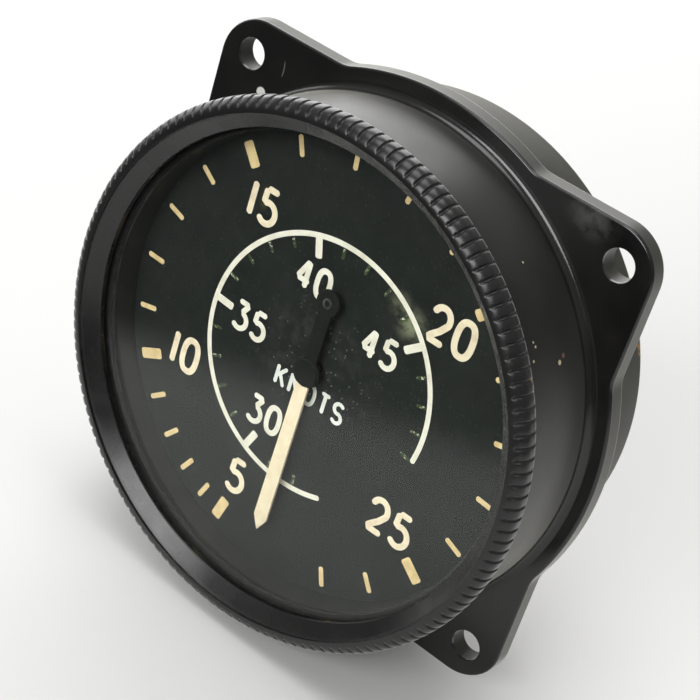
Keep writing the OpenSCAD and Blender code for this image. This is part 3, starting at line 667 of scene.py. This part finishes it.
MOULDING = moulded_black()
ENAMEL = bezel_enamel()
GLASS = window_glass()
WALL_PAINT = dull_enamel("wall_paint", (0.013, 0.014, 0.012), (0.022, 0.023, 0.020), 0.42, 8 * MM)
DIAL_BLACK = dial_black()
POINTER_BLACK = dull_enamel("pointer_black", (0.0080, 0.0098, 0.0080), (0.0120, 0.0140, 0.0115), 0.70, 3 * MM,
                            shine=0.08)
# Dull black for the front plate and the pieces round the hand's staff is painted shade under the dial's
# centre hole
PLATE_BLACK = dull_enamel("plate_black", (0.010, 0.010, 0.009), (0.018, 0.017, 0.015), 0.50, 6 * MM)
RIVET = dull_enamel("rivet_paint", (0.03, 0.03, 0.028), (0.10, 0.10, 0.09), 0.3, 0.6 * MM)
CREAM = aged_paint("cream_paint", (0.84, 0.73, 0.53), (0.70, 0.58, 0.39))
AMBER = aged_paint("amber_paint", (0.75, 0.58, 0.30), (0.62, 0.45, 0.21))
UNIT_WHITE = aged_paint("unit_white", (0.76, 0.78, 0.72), (0.66, 0.68, 0.61))
WHITE = aged_paint("white_paint", (0.80, 0.77, 0.65), (0.68, 0.64, 0.51))
FLAKED = aged_paint("flaked_paint", (0.55, 0.56, 0.42), (0.20, 0.25, 0.08), wear=0.22)
POINTER_CREAM = aged_paint("pointer_cream", (0.79, 0.68, 0.48), (0.72, 0.60, 0.40))
BRASS = bare_metal("union_brass", (0.80, 0.60, 0.30), (0.46, 0.32, 0.15), 0.30)
PLATE_BRASS = bare_metal("plate_brass", (0.84, 0.66, 0.34), (0.62, 0.46, 0.22), 0.26, 9 * MM)
WHEEL_BRASS = bare_metal("wheel_brass", (0.86, 0.68, 0.36), (0.66, 0.50, 0.25), 0.22)
BRONZE = bare_metal("bush_bronze", (0.72, 0.48, 0.28), (0.45, 0.28, 0.15), 0.30)
CAPSULE_BRONZE = bare_metal("capsule_bronze", (0.76, 0.50, 0.30), (0.52, 0.32, 0.18), 0.28, 6 * MM)
SPRING_BRONZE = bare_metal("spring_bronze", (0.62, 0.46, 0.26), (0.45, 0.30, 0.16), 0.25, 1 * MM)
STEEL = bare_metal("screw_steel", (0.56, 0.56, 0.55), (0.30, 0.28, 0.25), 0.32)
ARBOR_STEEL = bare_metal("arbor_steel", (0.62, 0.62, 0.62), (0.44, 0.44, 0.44), 0.20)
RUBBER = sealing_stuff("gasket_rubber", (0.020, 0.019, 0.018), (0.034, 0.032, 0.030), 0.75)
FIBRE = sealing_stuff("washer_fibre", (0.26, 0.09, 0.05), (0.17, 0.06, 0.035), 0.65)


# Case: turned section whose flange grows into four lugs

LUG_BLEND = 0.5 * MM
EDGE_EASE = 0.45 * MM
CASE_STEPS = 720
SCREW_DEGREES = (60, 180, 300)


def lug_square(angle):
    """Distance from the axis to the edge of the round-cornered square."""
    inset = LUG_HALF - LUG_CORNER_R
    c = abs(math.cos(angle))
    s = abs(math.sin(angle))
    side = LUG_HALF / max(c, s)
    if side * min(c, s) <= inset:
        return side
    middle = inset * (c + s)
    return middle + math.sqrt(middle * middle - 2 * inset * inset + LUG_CORNER_R ** 2)


def flange_edge(angle):
    """Distance from the axis to the flange's edge: disc and lugs, blended where they meet."""
    square = lug_square(angle)
    near = max(0.0, 1 - abs(square - FLANGE_R) / LUG_BLEND)
    return max(square, FLANGE_R) + LUG_BLEND * near * near / 4


def round_pit(name, radius, z0, z1):
    """Cutter for a plain round hole."""
    return lathe(name, [(0, z0), (radius, z0), (radius, z1), (0, z1)], even_turn(40))


def make_case():
    fillet = 1.4 * MM
    seat_r = DIAL_R + 0.15 * MM
    recess_r = GLASS_R + 0.02 * MM
    floor = CASE_REAR + 3 * MM
    ease = EDGE_EASE
    corners = [
        (0, CASE_REAR, 0), (REAR_R, CASE_REAR, 0.9 * MM), (REAR_R, -FLANGE_T, 0.3 * MM),
        (FLANGE_R, -FLANGE_T, ease), (FLANGE_R, 0, ease), (FRONT_R, 0, fillet),
        (FRONT_R, BEZEL_BACK, 0.15 * MM), (NOSE_R, BEZEL_BACK, 0), (NOSE_R, NOSE_FRONT, 0),
        (recess_r, NOSE_FRONT, 0), (recess_r, GASKET_BACK, 0), (seat_r, GASKET_BACK, 0),
        (seat_r, DIAL_BACK, 0), (CAVITY_R, DIAL_BACK, 0), (CAVITY_R, floor, 0), (0, floor, 0)]
    profile = rounded(corners, 6)
    outer = {i for i, p in enumerate(profile) if p[0] > FLANGE_R - 2 * ease}

    def radius_at(i, r, angle):
        return r - FLANGE_R + flange_edge(angle) if i in outer else r

    piece = new_piece("case_body", lathe("case_body", profile, even_turn(CASE_STEPS), radius_at), MOULDING)
    # Holes through the lugs, eased at both faces. Every cutter stands out by past.
    past = 1 * MM
    flare = 0.08 * MM
    mouth_r = HOLE_R + flare + past
    spool = [(0, -FLANGE_T - past), (mouth_r, -FLANGE_T - past), (HOLE_R, -FLANGE_T + flare),
             (HOLE_R, -flare), (mouth_r, past), (0, past)]
    cutters = [moved(lathe("bolt_hole", spool, even_turn(48)), x * HOLE_REACH, y * HOLE_REACH)
               for x in (-1, 1) for y in (-1, 1)]
    # Pits for the heads of the rear screws, and the stems' holes
    head_r = 1.8 * MM
    pit_r = 1.95 * MM
    pit_depth = 0.8 * MM
    screw_reach = -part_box("case_screws")[0][0] - head_r
    for degrees in SCREW_DEGREES:
        pit = round_pit("screw_pit", pit_r, CASE_REAR - past, CASE_REAR + pit_depth)
        angle = math.radians(degrees)
        cutters.append(moved(pit, screw_reach * math.cos(angle), screw_reach * math.sin(angle)))
    stem_hole_r = 3.02 * MM
    for node in ("pitot_union", "static_union"):
        low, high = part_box(node)
        hole = round_pit("stem_hole", stem_hole_r, CASE_REAR - past, floor + past)
        cutters.append(moved(hole, 0, (low[2] + high[2]) / 2))
    cut(piece, cutters)
    finish_mesh(piece.data, 30)
    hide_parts("case")
    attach(piece, "housing")


# Bezel: a ring with a rounded bead, milled with flutes, round a dished face

FLUTES = 144
FLUTE_DEPTH = 0.24 * MM
RIB_CROWN = 0.08 * MM
FLUTE_WIDTH = 0.30
FLUTE_SHARES = (0.0, 0.12, 0.24, 0.33, 0.385, 0.44, 0.50, 0.56, 0.615, 0.67, 0.76, 0.88)
BEAD_HEIGHT = 2.0 * MM


def make_bezel(flutes):
    inner = NOSE_R + 0.04 * MM
    shoulder = 2.2 * MM
    heel = 1.6 * MM
    hair = 0.001 * MM
    collar_r = BEZEL_R - heel
    collar_front = BEZEL_BACK + 0.7 * MM
    dish_r = 39.5 * MM
    lip = BEZEL_FRONT - 2.4 * MM
    corners = [
        (inner, BEZEL_BACK, 0), (collar_r, BEZEL_BACK, 0), (collar_r, collar_front, 0),
        (BEZEL_R, collar_front, heel - hair), (BEZEL_R, BEZEL_FRONT, shoulder),
        (dish_r, BEZEL_FRONT, 0.08 * MM), (dish_r - 0.05 * MM, BEZEL_FRONT - 0.5 * MM, 0.12 * MM),
        (WINDOW_R, lip, 0.3 * MM), (WINDOW_R, GLASS_FRONT, 0), (inner, GLASS_FRONT, 0)]
    angles = [(i + share) * TURN / FLUTES for i in range(FLUTES) for share in FLUTE_SHARES]
    piece = new_piece("bezel_ring", lathe("bezel_ring", rounded(corners, 12), angles))
    piece = flutes.apply(piece, ENAMEL, Flutes=FLUTES, Radius=BEZEL_R - BEAD_HEIGHT,
                         Height=BEZEL_FRONT - shoulder, Depth=FLUTE_DEPTH, Crown=RIB_CROWN,
                         Width=FLUTE_WIDTH, Front=64.0, Back=-34.0, Fade=10.0)
    finish_mesh(piece.data, 50)
    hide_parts("bezel")
    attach(piece, "housing")


def make_glass():
    corners = [(0, GLASS_BACK), (GLASS_R, GLASS_BACK), (GLASS_R, GLASS_FRONT), (0, GLASS_FRONT)]
    piece = new_piece("window_pane", lathe("window_pane", corners, even_turn(256)), GLASS)
    finish_mesh(piece.data, 30)
    piece.visible_shadow = False
    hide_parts("glass")
    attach(piece, "housing")


# Dial print: figures, marks and arc painted as strokes

def arc(cx, cy, rx, ry, start, end, count):
    """Points along an ellipse, angles in degrees."""
    angles = [math.radians(start + (end - start) * k / count) for k in range(count + 1)]
    return [(cx + rx * math.cos(a), cy + ry * math.sin(a)) for a in angles]


def loop(power, count=40):
    """Upright oval in the unit square, squarer with a higher power."""
    def bulge(share):
        return 0.5 + 0.5 * math.copysign(abs(share) ** (2 / power), share)

    return [(bulge(math.cos(a)), bulge(math.sin(a))) for a in even_turn(count)]


# Each figure is a list of strokes along the middle of the paint, in the unit square
FIGURES = {
    "0": [loop(2.5)],
    "1": [[(0.5, 0), (0.5, 1)]],
    "2": [arc(0.5, 0.70, 0.5, 0.30, 172, -22, 20) + [(0.62, 0.34), (0.22, 0.14), (0.0, 0.0)],
          [(0.0, 0.0), (1.0, 0.0)]],
    "3": [[(0.06, 1.0), (0.92, 1.0)], [(0.92, 1.0), (0.44, 0.60)],
          arc(0.44, 0.30, 0.56, 0.30, 92, -150, 22)],
    "4": [[(0.66, 1.0), (0.0, 0.27)], [(0.0, 0.27), (1.0, 0.27)], [(0.70, 1.0), (0.70, 0.0)]],
    "5": [[(0.92, 1.0), (0.14, 1.0)], [(0.14, 1.0), (0.10, 0.54)],
          [(0.10, 0.54)] + arc(0.46, 0.31, 0.54, 0.31, 118, -152, 22)],
    "K": [[(0.0, 0.0), (0.0, 1.0)], [(1.0, 1.0), (0.05, 0.42)], [(0.34, 0.60), (1.0, 0.0)]],
    "N": [[(0.0, 0.0), (0.0, 1.0)], [(0.0, 1.0), (1.0, 0.0)], [(1.0, 0.0), (1.0, 1.0)]],
    "O": [loop(2.3)],
    "T": [[(0.0, 1.0), (1.0, 1.0)], [(0.5, 1.0), (0.5, 0.0)]],
    "S": [arc(0.5, 0.74, 0.5, 0.26, 25, 262, 16) + arc(0.5, 0.25, 0.5, 0.25, 82, -160, 16)],
}
CLOSED_FIGURES = "0O"


def paint(name, strokes, tree, material, ease):
    """Painted piece from (closed, half width, points) strokes on the dial's face."""
    curve = bpy.data.curves.new(name, "CURVE")
    curve.dimensions = "3D"
    for closed, half, points in strokes:
        spline = curve.splines.new("POLY")
        spline.points.add(len(points) - 1)
        spline.use_cyclic_u = closed
        for point, (x, y) in zip(spline.points, points):
            point.co = (*bench(x, y, DIAL_FACE), 1)
            point.radius = half
    piece = tree.apply(new_piece(name, curve), material, Ease=ease, Step=0.16 * MM, Crown=0.07,
                       Face=-DIAL_FACE)
    finish_mesh(piece.data, 60)
    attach(piece, "housing")


def word(text, centre, height, wide, gap, stroke, widths=None):
    """Strokes of an upright word or number about its centre, sizes in millimetres.

    Each sign is this wide unless widths gives it another width, and a 1 is as wide as its stroke.
    """
    sizes = [stroke if c == "1" else (widths or {}).get(c, wide) for c in text]
    left = centre[0] - (sum(sizes) + gap * (len(text) - 1)) / 2
    tall = height - stroke
    strokes = []
    for c, size in zip(text, sizes):
        across = max(size - stroke, 0)
        for line in FIGURES[c]:
            points = [((left + stroke / 2 + x * across) * MM, (centre[1] - tall / 2 + y * tall) * MM)
                      for x, y in line]
            strokes.append((c in CLOSED_FIGURES, stroke / 2 * MM, points))
        left += size + gap
    return strokes


# Angles of the numbered marks, in degrees clockwise from the bottom of the dial
NUMBERED = {5: 15.5, 10: 63.6, 15: 139.8, 20: 225.0, 25: 307.7,
            30: 382.6, 35: 453.7, 40: 522.7, 45: 589.8, 50: 655.0}
OUTER_FIRST = 5
INNER_FIRST = 28
LAST_MARK = 49
OUTER_FIGURES = {"5": (-7.7, -24.9), "10": (-23.3, -11.0), "15": (-16.8, 19.2),
                 "20": (19.3, 17.7), "25": (20.2, -15.45)}
INNER_FIGURES = {"30": (-6.1, -12.1), "35": (-13.4, 0.7), "40": (-4.8, 13.0), "45": (9.3, 9.0)}


def scale_angle(speed):
    """Angle of any mark, on a smooth curve through the numbered ones."""
    low = min(max(speed // 5 * 5, 5), 45)
    before = NUMBERED.get(low - 5, 0.0)
    start = NUMBERED[low]
    end = NUMBERED[low + 5]
    after = NUMBERED.get(low + 10, 2 * end - start)
    t = (speed - low) / 5
    slope0 = (end - before) / 2
    slope1 = (after - start) / 2
    return ((2 * t ** 3 - 3 * t ** 2 + 1) * start + (t ** 3 - 2 * t ** 2 + t) * slope0
            + (3 * t ** 2 - 2 * t ** 3) * end + (t ** 3 - t ** 2) * slope1)


def dial_point(radius, degrees):
    angle = math.radians(degrees)
    return (-radius * math.sin(angle), -radius * math.cos(angle))


def marks(speeds, outer, length, width):
    """Radial strokes inwards from the outer radius, one for each speed."""
    angles = [scale_angle(speed) for speed in speeds]
    return [(False, width / 2, [dial_point(outer, a), dial_point(outer - length, a)]) for a in angles]


def make_dial_print(tree):
    outer_r = 35.17 * MM
    arc_r = 20.65 * MM
    arc_half = 0.44 * MM
    arc_steps = 240
    thin = [s for s in range(OUTER_FIRST, INNER_FIRST) if s % 5]
    thick = range(OUTER_FIRST, INNER_FIRST, 5)
    outer = marks(thin, outer_r, 3.33 * MM, 0.88 * MM) + marks(thick, outer_r, 4.12 * MM, 1.85 * MM)
    paint("outer_marks", outer, tree, AMBER, 0.32 * MM)
    figures = []
    for text, centre in OUTER_FIGURES.items():
        gap = 0.75 if "1" in text else 0.5
        figures += word(text, centre, height=6.5, wide=3.9, gap=gap, stroke=1.08)
    paint("outer_figures", figures, tree, CREAM, 0.5 * MM)
    start = scale_angle(INNER_FIRST - 1)
    turn = scale_angle(LAST_MARK) - start
    sweep = [dial_point(arc_r, start + turn * k / arc_steps) for k in range(arc_steps + 1)]
    inner = [(False, arc_half, sweep)] + marks(range(30, 50, 5), arc_r, 3.5 * MM, 1.3 * MM)
    paint("inner_arc", inner, tree, WHITE, 0.3 * MM)
    small = [s for s in range(INNER_FIRST, LAST_MARK + 1) if s % 5]
    paint("inner_marks", marks(small, arc_r - 0.5 * MM, 1.8 * MM, 0.55 * MM), tree, FLAKED, 0.2 * MM)
    figures = []
    for text, centre in INNER_FIGURES.items():
        figures += word(text, centre, height=5.3, wide=3.2, gap=0.35, stroke=0.92)
    paint("inner_figures", figures, tree, WHITE, 0.4 * MM)
    unit = word("KNOTS", (0.35, -4.4), height=3.9, wide=2.3, gap=0.45, stroke=0.66,
                widths={"O": 2.5, "N": 2.4})
    paint("unit_word", unit, tree, UNIT_WHITE, 0.3 * MM)


# Pointer

def round_end(radius, neck, y, side):
    """Rim of a disc at height y, from one edge of the neck that joins it to the other."""
    lean = math.asin(neck / radius)
    steps = 48
    angles = [lean + (TURN - 2 * lean) * k / steps for k in range(steps + 1)]
    return [(side * radius * math.sin(a), y - side * radius * math.cos(a)) for a in angles]


def make_pointer():
    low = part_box("pointer")[0]
    tip = -low[2]
    boss_top = -low[1]
    top = boss_top - 0.25 * MM
    bottom = top - 0.5 * MM
    point = 2.3 * MM
    shoulder = 2.55 * MM / 2
    root = 2.3 * MM / 2
    start = 1.75 * MM
    blade = [(-root, -start), (-shoulder, point - tip), (0, -tip), (shoulder, point - tip), (root, -start)]
    piece = new_piece("pointer_blade", plate("pointer_blade", blade, bottom, top), POINTER_CREAM)
    soften(piece, 30)
    finish_mesh(piece.data, 40)
    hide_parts("pointer")
    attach(piece, "hand")

    hub = 2.4 * MM
    disc = 2.1 * MM
    disc_y = 12.1 * MM
    neck = 1.2 * MM
    outline = round_end(disc, neck, disc_y, 1) + round_end(hub, neck, 0, -1)
    back = new_piece("pointer_tail", plate("pointer_tail", outline, bottom, top), POINTER_BLACK)
    soften(back, 50)
    finish_mesh(back.data, 40)
    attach(back, "hand")

    stem_r = 1.5 * MM
    boss_r = hub - 0.25 * MM
    stem_end = bottom - 1 * MM
    boss_base = top - 0.1 * MM
    cap = rounded([(0, stem_end, 0), (stem_r, stem_end, 0), (stem_r, boss_base, 0), (boss_r, boss_base, 0),
                   (boss_r, boss_top, 0.15 * MM), (0, boss_top, 0)], 4)
    boss = new_piece("pointer_hub", lathe("pointer_hub", cap, even_turn(64)), POINTER_BLACK)
    finish_mesh(boss.data, 40)
    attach(boss, "hand")

    eye_r = 0.5 * MM
    rivet_r = 0.8 * MM
    rivet_base = top - 0.2 * MM
    rivet_top = top + 0.2 * MM
    eye = rounded([(eye_r, rivet_base, 0), (rivet_r, rivet_base, 0), (rivet_r, rivet_top, 0.1 * MM),
                   (eye_r, rivet_top, 0.1 * MM)], 4)
    rivet = new_piece("balance_rivet", moved(lathe("balance_rivet", eye, even_turn(40)), 0, disc_y), RIVET)
    finish_mesh(rivet.data, 40)
    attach(rivet, "hand")


# Unions at the back: hexagon, threaded spigot and bore

def hexagon(name, across, z0, z1, bore):
    """Hexagon nut with its corners turned off at both faces, round a bore."""
    chamfer = 0.55 * MM
    flat = across / 2 * math.cos(math.pi / 6)
    turned = flat * 1.02
    profile = [(turned, z0), (flat, z0 + chamfer), (flat, z1 - chamfer), (turned, z1), (bore, z1), (bore, z0)]

    def radius_at(i, r, angle):
        wide = flat / math.cos(angle % (math.pi / 3) - math.pi / 6)
        if r == bore:
            return bore
        return min(wide, turned) if r == turned else wide

    return lathe(name, profile, even_turn(144), radius_at)


def make_unions(threads):
    ridge = 0.32 * MM
    core = 4.8 * MM - ridge
    neck = core - 0.5 * MM
    bore = 2.0 * MM
    stem = 3.0 * MM
    for node, name in (("pitot_union", "pitot_fitting"), ("static_union", "static_fitting")):
        low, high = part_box(node)
        end = -high[1]
        tip = -low[1]
        hex_back = end + 10 * MM
        hex_front = hex_back + 3 * MM
        corners = [(bore, end, 0.3 * MM), (core - 0.3 * MM, end, 0.35 * MM), (core, end + 1.2 * MM, 0),
                   (core, hex_back - 1.0 * MM, 0), (neck, hex_back - 0.9 * MM, 0), (neck, hex_back, 0),
                   (stem, hex_back, 0), (stem, tip, 0.15 * MM), (bore, tip, 0)]
        piece = new_piece(name, lathe(name, rounded(corners, 4), even_turn(64)), BRASS)
        piece = threads.apply(piece, BRASS, Turns=8.0, Radius=core, Start=1.1 * MM - hex_back,
                              Length=7.5 * MM, Ridge=ridge)
        work = bmesh.new()
        work.from_mesh(piece.data)
        work.from_mesh(hexagon(name + "_hex", 13 * MM, hex_back, hex_front, stem - 0.05 * MM))
        work.to_mesh(piece.data)
        work.free()
        moved(piece.data, 0, (low[2] + high[2]) / 2)
        finish_mesh(piece.data, 28)
        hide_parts(node)
        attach(piece, "housing")


# Finishes of the pieces that stay as they are in the frame

NODE_FINISHES = {
    RUBBER: ("glass_gasket",),
    WALL_PAINT: ("spacer_ring",),
    DIAL_BLACK: ("dial",),
    FIBRE: ("union_washers",),
    BRASS: ("union_nuts",),
    STEEL: ("case_screws", "back_plate_screws", "front_plate_screws", "bracket_screws"),
    PLATE_BRASS: ("long_pillars", "back_plate", "short_pillars", "shaft_brackets"),
    # Painted shade: the front plate, its bushes and the collet are dull black, so what shows through the
    # dial's centre hole stays dark
    PLATE_BLACK: ("front_plate", "front_bushes", "hairspring_collet"),
    BRONZE: ("back_bushes",),
    WHEEL_BRASS: ("sector_gear", "idler_wheel", "hand_pinion", "capsule_stud"),
    ARBOR_STEEL: ("sector_arbor", "sector_pin", "idler_pinion", "hand_staff", "hairspring_stud",
                  "rocking_shaft", "capsule_arm", "striker_arm"),
    SPRING_BRONZE: ("hairspring",),
    CAPSULE_BRONZE: ("capsule_back", "capsule_front"),
}


def dress_nodes():
    for material, nodes in NODE_FINISHES.items():
        for node in nodes:
            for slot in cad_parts[node].material_slots:
                slot.material = material


# Stage, light and camera

def make_stage():
    """Pale sheet with painted shade outside the picture's near edge, so that the glass mirrors a dark band
    there.
    """
    pale = (0.80, 0.80, 0.79)
    painted_shade_colour = (0.06, 0.06, 0.06)
    near_side = (-0.481, -0.877, 0)
    far = 3.0
    finish = Finish("pale_floor", pale, 0.9, Specular_IOR_Level=0.1)
    # Painted shade: the sheet's colour turns dark beyond the near edge
    painted_shade_share = finish.ramp(finish.vector("DOT_PRODUCT", finish.place, near_side), 73 * MM, 97 * MM)
    finish.set("Base Color", finish.mix(painted_shade_share, pale, painted_shade_colour))
    edge = [(-far, -far), (far, -far), (far, far), (-far, far)]
    mesh = bpy.data.meshes.new("floor")
    mesh.from_pydata([(x, y, FLOOR_Z) for x, y in edge], [], [tuple(range(len(edge)))])
    new_piece("floor", mesh, finish.material)


def make_lamp(name, place, size, radiance, aim=(0, 0, 0)):
    """Soft box that shows this radiance, so that 1 looks as bright as white paper."""
    data = bpy.data.lights.new(name, "AREA")
    data.shape = "RECTANGLE"
    data.size, data.size_y = size
    data.energy = radiance * math.pi * size[0] * size[1]
    lamp = bpy.data.objects.new(name, data)
    bpy.context.collection.objects.link(lamp)
    lamp.location = place
    lamp.rotation_euler = (Vector(aim) - Vector(place)).to_track_quat("-Z", "Y").to_euler()


def make_light():
    """Dim room, lighter overhead, with four soft boxes."""
    world = bpy.data.worlds.new("soft_room")
    bpy.context.scene.world = world
    world.use_nodes = True
    room = Nodes(world.node_tree)
    background = room.tree.nodes["Background"]
    up = room.split(room.node("ShaderNodeTexCoord").outputs["Generated"])[2]
    room.feed(background.inputs["Color"], (1.0, 0.99, 0.97))
    room.feed(background.inputs["Strength"], room.ramp(up, 0.0, 0.9, 0.10, 0.45, "LINEAR"))
    make_lamp("ceiling", place=(-0.15, -0.15, 1.0), size=(0.6, 0.6), radiance=3.4)
    make_lamp("front_window", place=(0.0, -0.90, 0.44), size=(0.6, 0.4), radiance=7.6)
    make_lamp("left_window", place=(-0.92, 0.20, 0.22), size=(0.9, 0.45), radiance=2.3)
    make_lamp("back_window", place=(-0.58, 0.70, 0.42), size=(0.9, 0.85), radiance=2.8, aim=(0, 0, 0.02))


CAMERA_PLACE = Vector((117.6, -212.3, 131.4)) * MM
CAMERA_FORWARD = Vector((-0.4302, 0.7664, -0.4770))
CAMERA_ROLL = -18.2
LENS = 92.4
SENSOR = 36.0


def make_camera():
    data = bpy.data.cameras.new("camera")
    data.lens = LENS
    data.sensor_width = SENSOR
    data.clip_start = 0.01
    camera = bpy.data.objects.new("camera", data)
    bpy.context.collection.objects.link(camera)
    forward = CAMERA_FORWARD.normalized()
    level = forward.cross(Vector((0, 0, 1))).normalized()
    upright = level.cross(forward)
    roll = math.radians(CAMERA_ROLL)
    up = upright * math.cos(roll) + level * math.sin(roll)
    right = forward.cross(up)
    turn = Matrix((right, up, -forward)).transposed()
    camera.matrix_world = Matrix.Translation(CAMERA_PLACE) @ turn.to_4x4()
    bpy.context.scene.camera = camera


def main():
    bpy.context.scene.view_settings.view_transform = "Standard"
    make_camera()
    make_light()
    make_stage()
    dress_nodes()
    make_case()
    make_bezel(knurl_tree())
    make_glass()
    make_dial_print(stroke_tree())
    make_pointer()
    make_unions(thread_tree())


main()
